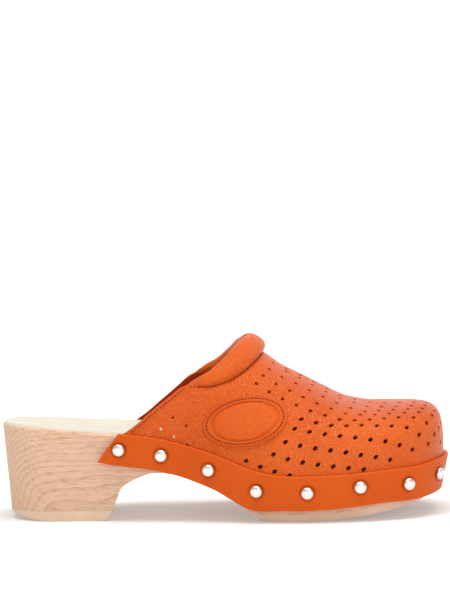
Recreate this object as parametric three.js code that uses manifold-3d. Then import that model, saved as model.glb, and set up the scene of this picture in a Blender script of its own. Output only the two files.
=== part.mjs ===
// A leather clog mule for the right foot on a one-piece wooden sole with a block heel.
// Millimetres. X runs from heel to toe, Z is up, and the outer side of the foot faces -Y.
import * as THREE from 'three';
import { mergeVertices } from 'three/addons/utils/BufferGeometryUtils.js';
import Module from 'manifold-3d';

const wasm = await Module();
wasm.setup();

// Wooden sole
const soleLength = 245.5;
const ballWidth = 90;
const heelWidth = 60;
const heelHeight = 53.4;
const ballHeight = 24.6;
const toeHeight = 29.2;
const heelLength = 60.6;
const breastRun = 31.2;
const archThickness = 18.3;
const sideLean = 0.075;
const toeLean = 0.24;
const edgeRound = 1.6;
const footbedDish = 2.2;

// Rubber under the sole
const outsoleThickness = 4;
const outsoleInset = 2.4;
const toeSpring = 10.6;
const springStart = 172;
const springCurve = 1.8;
const outsoleBevel = 6.5;
const outsoleBevelLength = 16;
const heelPieceThickness = 5.5;
const heelBevel = 4.2;
const heelBevelLength = 25;
const heelBevelCurve = 1.5;

// Leather
const leather = 1.8;
const insoleThickness = 1.2;
const insoleInset = 1.3;
const throatX = 148.2;
const instepHeight = 89.2;
const toeBoxHeight = 60.9;
const wingX = 71.2;
const fanStart = 130;
const toePivot = 216;
const spineShift = 12;
const strapThickness = 2.2;
const strapWidth = 18.5;
const strapRise = 1.3;
const strapSlant = 10.5;
const strapSlantLength = 25;
const strapEnd = 2.6;
const strapTrim = 0.5;
const skirtStop = 1.5;
const collarWidth = 13.6;
const collarThickness = 12.4;
const badgeLength = 47.5;
const badgeHeight = 26;
const badgeThickness = 1.4;
const badgeTilt = 8;
const badgeX = 139.2;
const badgeZ = 55.4;

// Domed nails
const studDiameter = 7;
const studDome = 1.9;
const shankDiameter = 2;
const shankLength = 13;
const shankPoint = 2.5;

// Clearance between pieces
const gap = 0.3;

// Facets of the round pieces
const edgeSteps = 480;
const collarSides = 12;
const collarStations = 12;
const studSides = 10;
const holeSides = 8;
const badgeSides = 16;

// Outline of the wood seen from above, from heel (0) to ball (1) of the half width
const outlineRows = [
  { at: 0.0, outer: 0.0, inner: 0.0 },
  { at: 0.2, outer: 0.0, inner: 0.0 },
  { at: 0.3, outer: 0.1, inner: 0.02 },
  { at: 0.4, outer: 0.23, inner: 0.03 },
  { at: 0.5, outer: 0.52, inner: 0.24 },
  { at: 0.6, outer: 0.82, inner: 0.62 },
  { at: 0.7, outer: 1.0, inner: 0.95 },
  { at: 0.76, outer: 1.0, inner: 1.0 },
  { at: 1.0, outer: 1.0, inner: 1.0 },
];
const outerToe = { from: 0.7, fullness: 2.4 };
const innerToe = { from: 0.74, fullness: 2.6 };
const heelCap = 0.124;

// Rim of the footbed: heel is the share of the drop from heel to ball, toe that of the rise to the toe
const rimRows = [
  { at: 0.0, heel: 1.0, toe: 0.0 },
  { at: 0.115, heel: 0.962, toe: 0.0 },
  { at: 0.195, heel: 0.892, toe: 0.0 },
  { at: 0.27, heel: 0.826, toe: 0.0 },
  { at: 0.355, heel: 0.743, toe: 0.0 },
  { at: 0.4, heel: 0.663, toe: 0.0 },
  { at: 0.446, heel: 0.559, toe: 0.0 },
  { at: 0.49, heel: 0.444, toe: 0.0 },
  { at: 0.536, heel: 0.285, toe: 0.0 },
  { at: 0.58, heel: 0.135, toe: 0.0 },
  { at: 0.626, heel: 0.035, toe: 0.0 },
  { at: 0.69, heel: 0.0, toe: 0.0 },
  { at: 0.7825, heel: 0.0, toe: 0.11 },
  { at: 0.87, heel: 0.0, toe: 0.46 },
  { at: 0.936, heel: 0.0, toe: 0.65 },
  { at: 1.0, heel: 0.0, toe: 1.0 },
];

// Depth of the footbed's dish
const dishRows = [
  { at: 0.0, dish: 0.0 },
  { at: 0.1, dish: 1.0 },
  { at: 0.36, dish: 1.0 },
  { at: 0.6, dish: 0.45 },
  { at: 0.88, dish: 0.45 },
  { at: 1.0, dish: 0.0 },
];

// Front face of the heel, as shares of its run and of the height under the arch
const breastRows = [
  { at: 0.0, up: 0.0 },
  { at: 0.074, up: 0.175 },
  { at: 0.173, up: 0.42 },
  { at: 0.231, up: 0.57 },
  { at: 0.27, up: 0.64 },
  { at: 0.362, up: 0.735 },
  { at: 0.452, up: 0.805 },
  { at: 0.545, up: 0.87 },
  { at: 0.638, up: 0.93 },
  { at: 0.73, up: 0.967 },
  { at: 0.82, up: 0.995 },
  { at: 1.0, up: 1.0 },
];

// Thickness of the wood at its edge, in front of the heel, as a share of the arch thickness
const thicknessRows = [
  { at: 0.374, thick: 1.0 },
  { at: 0.397, thick: 0.97 },
  { at: 0.42, thick: 0.94 },
  { at: 0.46, thick: 0.955 },
  { at: 0.505, thick: 1.0 },
  { at: 0.55, thick: 1.115 },
  { at: 0.575, thick: 1.32 },
  { at: 0.605, thick: 1.5 },
];

// Strap height as a share of its width
const strapRows = [
  { at: 0.22, drop: 0.9 },
  { at: 0.27, drop: 0.965 },
  { at: 0.41, drop: 0.99 },
  { at: 0.5, drop: 1.08 },
  { at: 0.575, drop: 1.225 },
  { at: 0.61, drop: 1.14 },
  { at: 0.65, drop: 1.05 },
  { at: 0.74, drop: 1.02 },
  { at: 0.87, drop: 0.97 },
  { at: 0.93, drop: 1.0 },
  { at: 1.0, drop: 0.96 },
];

// Ridge line of the upper: 0 at the toe box and 1 at the throat, and its shift to the inner side
const ridgeRows = [
  { at: 0.29, up: 1.69, shift: 0.12 },
  { at: 0.43, up: 1.62, shift: 0.15 },
  { at: 0.49, up: 1.52, shift: 0.17 },
  { at: 0.53, up: 1.39, shift: 0.19 },
  { at: 0.57, up: 1.21, shift: 0.21 },
  { at: 0.607, up: 1.0, shift: 0.25 },
  { at: 0.642, up: 0.777, shift: 0.3 },
  { at: 0.688, up: 0.565, shift: 0.38 },
  { at: 0.733, up: 0.353, shift: 0.42 },
  { at: 0.778, up: 0.148, shift: 0.44 },
  { at: 0.823, up: 0.046, shift: 0.58 },
  { at: 0.87, up: 0.0, shift: 1.0 },
];

// How the ribs of the upper bend: flat towards the ridge (low) and full above the wood's edge (high)
const ribRows = [
  { at: 0.29, flat: 2.0, full: 2.0 },
  { at: 0.5, flat: 2.0, full: 2.0 },
  { at: 0.6, flat: 1.9, full: 2.1 },
  { at: 0.7, flat: 1.6, full: 2.6 },
  { at: 0.8, flat: 1.35, full: 3.6 },
  { at: 0.9, flat: 1.4, full: 4.6 },
  { at: 0.96, flat: 2.3, full: 4.2 },
  { at: 1.0, flat: 3.5, full: 3.5 },
];
const turnEase = 1.6;

// Edge of the upper from the wing (0) to the throat (1), as shares of its run and rise
const edgeRows = [
  { at: 0.0, up: 0.0 },
  { at: 0.052, up: 0.045 },
  { at: 0.121, up: 0.16 },
  { at: 0.191, up: 0.281 },
  { at: 0.266, up: 0.395 },
  { at: 0.343, up: 0.509 },
  { at: 0.42, up: 0.62 },
  { at: 0.494, up: 0.672 },
  { at: 0.558, up: 0.701 },
  { at: 0.636, up: 0.734 },
  { at: 0.708, up: 0.797 },
  { at: 0.779, up: 0.881 },
  { at: 0.844, up: 0.985 },
  { at: 0.909, up: 1.1 },
  { at: 1.0, up: 1.25 },
];

// Collar roll from its tip on the wing (0) to the middle of the instep (1)
const collarTip = 0.42;
const collarRows = [
  { at: 0.0, wide: 0.1, thick: 0.12 },
  { at: 0.12, wide: 0.34, thick: 0.3 },
  { at: 0.28, wide: 0.66, thick: 0.48 },
  { at: 0.45, wide: 0.92, thick: 0.62 },
  { at: 0.65, wide: 1.03, thick: 0.78 },
  { at: 0.85, wide: 1.0, thick: 0.94 },
  { at: 1.0, wide: 1.0, thick: 1.0 },
];

// Part of the upper's outer face that the badge is cut from
const badgeSpan = { ribFrom: 0.13, ribTo: 0.62, turnFrom: 0.05, turnTo: 0.72 };

// Nails along each side, as shares of the strap from its rear end to the toe and of its height
const studRows = [
  { at: 0.002, up: 0.5 },
  { at: 0.119, up: 0.5 },
  { at: 0.253, up: 0.5 },
  { at: 0.385, up: 0.5 },
  { at: 0.522, up: 0.52 },
  { at: 0.662, up: 0.58 },
  { at: 0.795, up: 0.5 },
  { at: 0.906, up: 0.56 },
];

// Section of a nail's head, as shares of its radius and of its dome
const headRows = [
  { out: 0.97, up: 0.0 },
  { out: 1.0, up: 0.25 },
  { out: 0.72, up: 0.74 },
  { out: 0.0, up: 1.0 },
];

/** Smooth curve without overshoot through a table: its column at against another column. */
function through(rows, name) {
  const slope = [];
  for (let i = 0; i + 1 < rows.length; i += 1) {
    slope.push((rows[i + 1][name] - rows[i][name]) / (rows[i + 1].at - rows[i].at));
  }
  const tangent = rows.map((row, i) => {
    if (i === 0) return slope[0];
    if (i === rows.length - 1) return slope[i - 1];
    if (slope[i - 1] * slope[i] <= 0) return 0;
    return (2 * slope[i - 1] * slope[i]) / (slope[i - 1] + slope[i]);
  });
  return (at) => {
    const here = THREE.MathUtils.clamp(at, rows[0].at, rows[rows.length - 1].at);
    let i = 0;
    while (i < rows.length - 2 && here > rows[i + 1].at) i += 1;
    const run = rows[i + 1].at - rows[i].at;
    const t = (here - rows[i].at) / run;
    const near = (1 + 2 * t) * (1 - t) * (1 - t);
    const far = t * t * (3 - 2 * t);
    const leave = t * (1 - t) * (1 - t) * run;
    const arrive = t * t * (t - 1) * run;
    return rows[i][name] * near + rows[i + 1][name] * far + tangent[i] * leave + tangent[i + 1] * arrive;
  };
}

/** The value between low and high where rising(value) changes from false to true. */
function crossing(low, high, rising) {
  let from = low;
  let to = high;
  for (let step = 0; step < 40; step += 1) {
    const middle = (from + to) / 2;
    if (rising(middle)) to = middle;
    else from = middle;
  }
  return (from + to) / 2;
}

const mix = THREE.MathUtils.lerp;
const ease = {
  none: (t) => t,
  start: (t) => 1 - Math.cos((Math.PI * t) / 2),
  end: (t) => Math.sin((Math.PI * t) / 2),
  both: (t) => (1 - Math.cos(Math.PI * t)) / 2,
};
const outerShare = through(outlineRows, 'outer');
const innerShare = through(outlineRows, 'inner');
const rimHeel = through(rimRows, 'heel');
const rimToe = through(rimRows, 'toe');
const dishShare = through(dishRows, 'dish');
const breastUp = through(breastRows, 'up');
const woodThick = through(thicknessRows, 'thick');
const strapDrop = through(strapRows, 'drop');
const ridgeUp = through(ridgeRows, 'up');
const ridgeShift = through(ridgeRows, 'shift');
const ribFlat = through(ribRows, 'flat');
const ribFull = through(ribRows, 'full');
const edgeUp = through(edgeRows, 'up');
const collarWide = through(collarRows, 'wide');
const collarThick = through(collarRows, 'thick');

/** Steps from 0 to 1, closer together where the ease is slow. */
function steps(count, bend = ease.none) {
  return Array.from({ length: count + 1 }, (_, i) => bend(i / count));
}

/** Height of the footbed's rim above the floor. */
function rimHeight(x) {
  const at = x / soleLength;
  return ballHeight + (heelHeight - ballHeight) * rimHeel(at) + (toeHeight - ballHeight) * rimToe(at);
}

/** How far the rubber under the forefoot has left the floor. */
function spring(x) {
  const rise = Math.max(0, (x - springStart) / (soleLength - springStart));
  return toeSpring * rise ** springCurve;
}

/** Underside of the wood. */
function underside(x) {
  const heelTop = heelPieceThickness + gap;
  const archX = heelLength + breastRun;
  if (x < archX) {
    const archTop = rimHeight(archX) - archThickness;
    return Math.max(heelTop, archTop * breastUp((x - heelLength) / breastRun));
  }
  const arch = rimHeight(x) - archThickness * woodThick(x / soleLength);
  return Math.max(arch, outsoleThickness + gap + spring(x));
}

/** Half width of the wood on one side: -1 is the outer side of the foot, 1 the inner. */
function halfWidth(side, at) {
  const share = side < 0 ? outerShare(at) : innerShare(at);
  const toe = side < 0 ? outerToe : innerToe;
  const full = mix(heelWidth, ballWidth, share) / 2;
  const back = Math.min(1, Math.max(0, at / heelCap));
  const front = Math.max(0, (at - toe.from) / (1 - toe.from));
  const heelRound = Math.sqrt(Math.max(0, back * (2 - back)));
  const toeRound = Math.max(0, 1 - front ** toe.fullness) ** (1 / toe.fullness);
  return full * heelRound * toeRound;
}

/** The wood's edge on one side as a fine line from heel to toe, with the distance along it. */
function edgeLine(side) {
  const line = steps(edgeSteps, ease.both).map((at) => {
    return { x: at * soleLength, y: side * halfWidth(side, at), run: 0 };
  });
  for (let i = 1; i < line.length; i += 1) {
    const step = Math.hypot(line[i].x - line[i - 1].x, line[i].y - line[i - 1].y);
    line[i].run = line[i - 1].run + step;
  }
  return line;
}

const edgeLines = { [-1]: edgeLine(-1), [1]: edgeLine(1) };

/** Place and outward direction on the wood's edge, where a measure (x or run) has a value. */
function onEdge(side, measure, value) {
  const line = edgeLines[side];
  const last = line.length - 1;
  const wanted = THREE.MathUtils.clamp(value, line[0][measure], line[last][measure]);
  let i = 0;
  while (i < last - 1 && line[i + 1][measure] < wanted) i += 1;
  const a = line[i];
  const b = line[i + 1];
  const t = (wanted - a[measure]) / (b[measure] - a[measure]);
  const before = line[Math.max(0, i - 2)];
  const after = line[Math.min(last, i + 3)];
  let nx = (after.y - before.y) * -side;
  let ny = (after.x - before.x) * side;
  if (i < 3 && wanted <= line[1][measure]) {
    nx = -1;
    ny = 0;
  }
  if (i > last - 4 && wanted >= line[last - 1][measure]) {
    nx = 1;
    ny = 0;
  }
  const size = Math.hypot(nx, ny);
  return {
    x: mix(a.x, b.x, t),
    y: mix(a.y, b.y, t),
    run: mix(a.run, b.run, t),
    nx: nx / size,
    ny: ny / size,
  };
}

/** A point beside the wood's edge, out from it and at a height; the side leans in below the rim. */
function beside(place, out, z) {
  const front = Math.max(0, place.nx);
  const lean = sideLean + (toeLean - sideLean) * front * front;
  const depth = Math.max(0, rimHeight(place.x) - z);
  const away = out - lean * depth;
  return new THREE.Vector3(place.x + place.nx * away, place.y + place.ny * away, z);
}

/** A closed body from points and triangles, without the triangles that have no area. */
function body(points, triangles) {
  const loose = new THREE.BufferGeometry();
  loose.setAttribute('position', new THREE.Float32BufferAttribute(points.flatMap((p) => [p.x, p.y, p.z]), 3));
  loose.setIndex(triangles);
  const joined = mergeVertices(loose, 1e-4);
  const index = joined.getIndex().array;
  const kept = [];
  for (let i = 0; i < index.length; i += 3) {
    const [a, b, c] = [index[i], index[i + 1], index[i + 2]];
    if (a !== b && b !== c && c !== a) kept.push(a, b, c);
  }
  joined.setIndex(kept);
  return joined;
}

/** A body through rings of equal length, each a closed loop, with the first and last capped. */
function loft(rings) {
  const count = rings[0].length;
  const points = rings.flat();
  const triangles = [];
  for (let i = 0; i + 1 < rings.length; i += 1) {
    for (let j = 0; j < count; j += 1) {
      const a = i * count + j;
      const b = i * count + ((j + 1) % count);
      triangles.push(a, b, b + count, a, b + count, a + count);
    }
  }
  for (let j = 1; j + 1 < count; j += 1) {
    triangles.push(0, j + 1, j);
    const start = (rings.length - 1) * count;
    triangles.push(start, start + j, start + j + 1);
  }
  return body(points, triangles);
}

/** A wall between an outer and an inner sheet that share their triangles. */
function wall(outer, inner, sheet) {
  const shift = outer.length;
  const triangles = [];
  const edges = new Map();
  for (let i = 0; i < sheet.length; i += 3) {
    const face = [sheet[i], sheet[i + 1], sheet[i + 2]];
    triangles.push(...face, face[0] + shift, face[2] + shift, face[1] + shift);
    for (let j = 0; j < 3; j += 1) {
      const from = face[j];
      const to = face[(j + 1) % 3];
      if (edges.has(`${to},${from}`)) edges.delete(`${to},${from}`);
      else edges.set(`${from},${to}`, [from, to]);
    }
  }
  for (const [from, to] of edges.values()) {
    triangles.push(to, from, from + shift, to, from + shift, to + shift);
  }
  return body([...outer, ...inner], triangles);
}

/** three.js geometry to a solid for cutting. */
function solid(geometry) {
  const bare = geometry.clone();
  bare.deleteAttribute('normal');
  bare.deleteAttribute('uv');
  const joined = mergeVertices(bare, 1e-4);
  const mesh = new wasm.Mesh({
    numProp: 3,
    vertProperties: new Float32Array(joined.getAttribute('position').array),
    triVerts: new Uint32Array(joined.getIndex().array),
  });
  return new wasm.Manifold(mesh);
}

/** A solid back to three.js geometry. */
function geometryOf(cut) {
  const mesh = cut.getMesh();
  const geometry = new THREE.BufferGeometry();
  geometry.setAttribute('position', new THREE.BufferAttribute(mesh.vertProperties, 3));
  geometry.setIndex(new THREE.BufferAttribute(mesh.triVerts, 1));
  return geometry;
}

// Shares across the shoe, from the outer edge (-1) to the inner (1)
const fine = [-1, -0.72, -0.36, 0, 0.36, 0.72, 1];
const coarse = [-1, 0, 1];

/** Points across the shoe between an outer and an inner point, sunk in the middle by a dish. */
function acrossFrom(outer, inner, shares, dish = 0) {
  return shares.map((share) => {
    const point = new THREE.Vector3().lerpVectors(outer, inner, (share + 1) / 2);
    point.z -= dish * (1 - share * share);
    return point;
  });
}

/** Depth of the footbed's dish: full under the heel, less under the toes. */
function dishAt(x) {
  return footbedDish * dishShare(x / soleLength);
}

/** A ring round the wood across the shoe, dished on top and with its edges taken off. */
function woodRing(x) {
  const outer = onEdge(-1, 'x', x);
  const inner = onEdge(1, 'x', x);
  const top = rimHeight(x);
  const bottom = underside(x);
  const width = Math.hypot(outer.x - inner.x, outer.y - inner.y);
  const trim = edgeRound * Math.min(1, width / (4 * edgeRound));
  return [
    ...acrossFrom(beside(outer, -trim, top), beside(inner, -trim, top), fine, dishAt(x)),
    beside(inner, 0, top - trim),
    beside(inner, 0, bottom + trim),
    ...acrossFrom(beside(outer, -trim, bottom), beside(inner, -trim, bottom), coarse).reverse(),
    beside(outer, 0, bottom + trim),
    beside(outer, 0, top - trim),
  ].reverse();
}

/** Wooden sole and heel in one. */
function soleSolid() {
  const archX = heelLength + breastRun;
  const heel = steps(9, ease.start).map((t) => t * heelLength);
  const breast = breastRows.slice(1).map((row) => heelLength + row.at * breastRun);
  const front = steps(24, ease.end).slice(1).map((t) => mix(archX, soleLength, t));
  const wood = loft([...heel, ...breast, ...front].map(woodRing));
  return geometryOf(solid(wood).subtract(nailHoles()));
}

/** Thin lining on the footbed. */
function insoleSolid() {
  const rings = steps(30, ease.both).map((t) => {
    const x = t * soleLength;
    const low = rimHeight(x) + gap;
    const outer = beside(onEdge(-1, 'x', x), -insoleInset, low);
    const inner = beside(onEdge(1, 'x', x), -insoleInset, low);
    const under = acrossFrom(outer, inner, fine, dishAt(x));
    const over = under.map((point) => point.clone().setZ(point.z + insoleThickness));
    return [...over, ...under.reverse()].reverse();
  });
  return loft(rings);
}

/** A ring round a rubber piece across the shoe, between a top and a bottom place. */
function rubberRing(topX, top, bottomX, bottom, inset) {
  const corner = (side, x, z) => beside(onEdge(side, 'x', x), -inset, z);
  const over = acrossFrom(corner(-1, topX, top), corner(1, topX, top), coarse);
  const under = acrossFrom(corner(-1, bottomX, bottom), corner(1, bottomX, bottom), coarse);
  return [...over, ...under.reverse()].reverse();
}

/** Rubber under the forefoot, from a bevel behind the ball to the toe. */
function outsoleSolid() {
  const start = crossing(heelLength + breastRun, springStart, (x) => {
    return rimHeight(x) - archThickness * woodThick(x / soleLength) < outsoleThickness + gap;
  });
  const rings = steps(18, ease.end).map((t) => {
    const topX = mix(start, soleLength - outsoleInset, t);
    const bottomX = topX + outsoleBevel * Math.max(0, 1 - (topX - start) / outsoleBevelLength);
    return rubberRing(topX, outsoleThickness + spring(topX), bottomX, spring(bottomX), outsoleInset);
  });
  return loft(rings);
}

/** Rubber top piece under the heel, bevelled up at its back. */
function heelPieceSolid() {
  const frontX = crossing(heelLength, heelLength + breastRun, (x) => underside(x) > heelPieceThickness + gap);
  const rings = steps(16, ease.start).map((t) => {
    const bottomX = t * heelLength;
    const behind = Math.max(0, 1 - bottomX / heelBevelLength);
    return rubberRing(t * frontX, heelPieceThickness, bottomX, heelBevel * behind ** heelBevelCurve, 0);
  });
  return loft(rings);
}

// The upper: ribs rise from the wood's edge to a ridge, and fan out round the toe

const wingRun = { [-1]: onEdge(-1, 'x', wingX).run, [1]: onEdge(1, 'x', wingX).run };
const toeRun = { [-1]: edgeLines[-1].at(-1).run, [1]: edgeLines[1].at(-1).run };

/** Edge place of a rib: 0 is the rear end of the wing, 1 the tip of the toe. */
function ribFoot(side, rib) {
  return onEdge(side, 'run', mix(wingRun[side], toeRun[side], rib));
}

function ribFootX(rib) {
  return (ribFoot(-1, rib).x + ribFoot(1, rib).x) / 2;
}

const fanRib = crossing(0, 1, (rib) => ribFootX(rib) > fanStart);
const fanRate = (ribFootX(fanRib + 0.01) - ribFootX(fanRib)) / 0.01;
const fanPower = (fanRate * (1 - fanRib)) / (toePivot - fanStart);

/** Where a rib meets the ridge, seen from the side. */
function ridgeX(rib) {
  if (rib < fanRib) return ribFootX(rib);
  const left = Math.max(0, (1 - rib) / (1 - fanRib));
  return mix(fanStart, toePivot, 1 - left ** fanPower);
}

function ridgeHeight(x) {
  return mix(toeBoxHeight, instepHeight, ridgeUp(x / soleLength));
}

/** A point of the upper's outer face: turn runs from 0 at the wood's edge to 1 at the ridge. */
function upperPoint(side, rib, turn) {
  const foot = ribFoot(side, rib);
  const from = beside(foot, gap + leather, rimHeight(foot.x));
  const x = ridgeX(rib);
  const top = new THREE.Vector3(x, spineShift * ridgeShift(x / soleLength), ridgeHeight(x));
  const share = ribFootX(rib) / soleLength;
  const angle = (Math.PI / 2) * turn ** turnEase;
  const inward = 1 - Math.max(0, Math.cos(angle)) ** (2 / ribFlat(share));
  const upward = Math.sin(angle) ** (2 / ribFull(share));
  return new THREE.Vector3(
    mix(from.x, top.x, inward),
    mix(from.y, top.y, inward),
    mix(from.z, top.z, upward),
  );
}

/** Outward direction of the upper's face. */
function upperNormal(side, rib, turn) {
  const step = 0.004;
  const ribLow = Math.max(0, rib - step);
  const ribHigh = Math.min(1, rib + step);
  const turnLow = Math.max(0, turn - step);
  const turnHigh = Math.min(1, turn + step);
  const along = upperPoint(side, ribHigh, turn).sub(upperPoint(side, ribLow, turn));
  const up = upperPoint(side, rib, turnHigh).sub(upperPoint(side, rib, turnLow));
  if (rib > 1 - 2 * step) {
    const other = upperPoint(-side, ribLow, turn);
    along.copy(other).sub(upperPoint(side, ribLow, turn));
  }
  if (turn > 1 - 2 * step && rib < 1 - 2 * step) {
    up.copy(upperPoint(-side, rib, turnLow)).sub(upperPoint(side, rib, turnLow));
  }
  return new THREE.Vector3().crossVectors(along, up).multiplyScalar(-side).normalize();
}

/** Height of the upper's edge: the topline on the wing, then the line that the collar follows. */
function edgeHeight(x) {
  const low = rimHeight(wingX) + strapRise;
  return mix(low, instepHeight, edgeUp((x - wingX) / (throatX - wingX)));
}

/** How far up a rib the upper goes: 1 reaches the ridge. */
function ribEnd(side, rib) {
  const over = (turn) => {
    const p = upperPoint(side, rib, turn);
    return p.z > edgeHeight(p.x);
  };
  if (ridgeX(rib) > throatX || !over(1)) return 1;
  return crossing(0, 1, over);
}

const throatRib = crossing(0, 1, (rib) => ridgeHeight(ridgeX(rib)) < edgeHeight(ridgeX(rib)));

function strapTop(x) {
  return rimHeight(x) + strapRise;
}

function strapBottom(x) {
  return strapTop(x) - strapWidth * strapDrop(x / soleLength);
}

/** Edge places of the strap's top and bottom on a rib; its rear end is cut at a slant. */
function strapPlaces(side, rib) {
  const run = mix(wingRun[side], toeRun[side], rib);
  const slant = strapSlant * Math.max(0, 1 - (run - wingRun[side]) / strapSlantLength);
  return { high: onEdge(side, 'run', run), low: onEdge(side, 'run', run - slant) };
}

/** The upper's sheet at a distance inside its outer face, with the skirt that the strap covers. */
function upperSheet(inset, ribs, rows) {
  const points = [];
  const grid = [];
  for (const rib of ribs) {
    const column = {};
    for (const side of [-1, 1]) {
      const list = [];
      const { high, low } = strapPlaces(side, rib);
      list.push(beside(low, gap + leather - inset, strapBottom(low.x) + skirtStop));
      list.push(beside(high, gap + leather - inset, rimHeight(high.x)));
      for (let j = 1; j <= rows; j += 1) {
        const turn = j / rows;
        const point = upperPoint(side, rib, turn);
        list.push(point.addScaledVector(upperNormal(side, rib, turn), -inset));
      }
      column[side] = list;
    }
    grid.push(column);
  }
  const index = grid.map((column, i) => {
    const tip = i === grid.length - 1;
    const ids = { [-1]: [], [1]: [] };
    for (const side of [-1, 1]) {
      column[side].forEach((point, j) => {
        const ridge = j === column[side].length - 1;
        if (side > 0 && (tip || ridge)) {
          ids[side].push(ids[-1][j]);
          return;
        }
        points.push(point);
        ids[side].push(points.length - 1);
      });
    }
    return ids;
  });
  const triangles = [];
  for (let i = 0; i + 1 < index.length; i += 1) {
    for (const side of [-1, 1]) {
      for (let j = 0; j + 1 < index[i][side].length; j += 1) {
        const a = index[i][side][j];
        const b = index[i + 1][side][j];
        const c = index[i + 1][side][j + 1];
        const d = index[i][side][j + 1];
        if (side < 0) triangles.push(a, b, c, a, c, d);
        else triangles.push(a, c, b, a, d, c);
      }
    }
  }
  return { points, triangles };
}

/** Half of the collar roll's middle line on the upper's face, from its tip over the instep. */
function collarLine(side) {
  const tipX = mix(wingX, throatX, collarTip);
  const tipRib = crossing(0, 1, (rib) => ribFootX(rib) > tipX);
  return steps(collarStations).map((at) => {
    const rib = mix(tipRib, throatRib, ease.end(at));
    const turn = at === 1 ? 1 : Math.min(ribEnd(-1, rib), ribEnd(1, rib));
    return { at, point: upperPoint(side, rib, turn), normal: upperNormal(side, rib, turn) };
  });
}

/** The collar roll, grown by a margin where it is used as a cutter. */
function collarSolid(grow) {
  const line = [...collarLine(-1), ...collarLine(1).reverse().slice(1)];
  const rings = line.map((station, i) => {
    const before = line[Math.max(0, i - 1)].point;
    const after = line[Math.min(line.length - 1, i + 1)].point;
    const along = after.clone().sub(before).normalize();
    const up = station.normal.clone().addScaledVector(along, -station.normal.dot(along)).normalize();
    const over = new THREE.Vector3().crossVectors(up, along);
    const wide = (collarWidth * collarWide(station.at)) / 2 + grow;
    const thick = (collarThickness * collarThick(station.at)) / 2 + grow;
    return Array.from({ length: collarSides }, (_, j) => {
      const angle = (2 * Math.PI * j) / collarSides;
      return station.point.clone()
        .addScaledVector(over, wide * Math.cos(angle))
        .addScaledVector(up, thick * Math.sin(angle));
    });
  });
  return loft(rings);
}

/** Ribs of the faceted upper: even up to the fan, then even round the toe. */
function ribSteps() {
  const rear = steps(12).map((t) => t * fanRib);
  const front = steps(18).slice(1).map((t) => mix(fanRib, 1, t));
  return [...rear, ...front];
}

/** Everything above and behind the upper's edge, across the whole width. */
function mouthSolid() {
  const over = 2 * instepHeight;
  const mouth = new THREE.Shape();
  mouth.moveTo(-throatX, over);
  mouth.lineTo(-throatX, edgeHeight(wingX));
  for (const t of steps(24)) {
    const x = mix(wingX, throatX, t);
    mouth.lineTo(x, edgeHeight(x));
  }
  mouth.lineTo(throatX, over);
  const depth = 2 * ballWidth;
  const prism = new THREE.ExtrudeGeometry(mouth, { depth, bevelEnabled: false });
  prism.rotateX(Math.PI / 2);
  prism.translate(0, depth / 2, 0);
  return prism;
}

/** The upper: one wall of leather, open underneath, at the back and at the collar. */
function upperSolid() {
  const ribs = ribSteps();
  const rows = 10;
  const outer = upperSheet(0, ribs, rows);
  const inner = upperSheet(leather, ribs, rows);
  const whole = solid(wall(outer.points, inner.points, outer.triangles));
  const open = whole.subtract(solid(mouthSolid())).subtract(solid(collarSolid(gap)));
  return geometryOf(open.subtract(nailHoles()));
}

/** Strap round the lower edge, nailed through the upper into the wood. */
function strapSolid() {
  const inside = gap + leather + gap;
  const outside = inside + strapThickness;
  const ribs = [-strapEnd / (toeRun[-1] - wingRun[-1]), ...ribSteps()];
  const outer = ribs.map((rib) => ({ side: -1, rib }));
  const inner = ribs.slice(0, -1).map((rib) => ({ side: 1, rib })).reverse();
  const rings = [...outer, ...inner].map(({ side, rib }) => {
    const { high, low } = strapPlaces(side, rib);
    const top = strapTop(high.x);
    const bottom = strapBottom(low.x);
    return [
      beside(high, inside, top),
      beside(high, outside - strapTrim, top),
      beside(high, outside, top - strapTrim),
      beside(low, outside, bottom + strapTrim),
      beside(low, outside - strapTrim, bottom),
      beside(low, inside, bottom),
      beside(high, inside, rimHeight(high.x)),
    ];
  });
  return geometryOf(solid(loft(rings)).subtract(nailHoles()));
}

/** Oval patch on the outer side, cut from a layer that lies on the upper. */
function badgeSolid() {
  const ribs = steps(16).map((t) => mix(badgeSpan.ribFrom, badgeSpan.ribTo, t));
  const turns = steps(12).map((t) => mix(badgeSpan.turnFrom, badgeSpan.turnTo, t));
  const points = { near: [], far: [] };
  const triangles = [];
  ribs.forEach((rib, i) => {
    turns.forEach((turn, j) => {
      const normal = upperNormal(-1, rib, turn);
      const point = upperPoint(-1, rib, turn);
      points.near.push(point.clone().addScaledVector(normal, gap));
      points.far.push(point.clone().addScaledVector(normal, gap + badgeThickness));
      if (i + 1 === ribs.length || j + 1 === turns.length) return;
      const a = i * turns.length + j;
      const b = a + turns.length;
      triangles.push(a, b, b + 1, a, b + 1, a + 1);
    });
  });
  const layer = wall(points.far, points.near, triangles);
  const oval = new THREE.Shape();
  oval.absellipse(0, 0, badgeLength / 2, badgeHeight / 2, 0, 2 * Math.PI);
  const reach = { depth: ballWidth, bevelEnabled: false, curveSegments: badgeSides };
  const prism = new THREE.ExtrudeGeometry(oval, reach);
  prism.rotateZ(THREE.MathUtils.degToRad(badgeTilt));
  prism.rotateX(Math.PI / 2);
  prism.translate(badgeX, 0, badgeZ);
  return geometryOf(solid(layer).intersect(solid(prism)));
}

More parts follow.
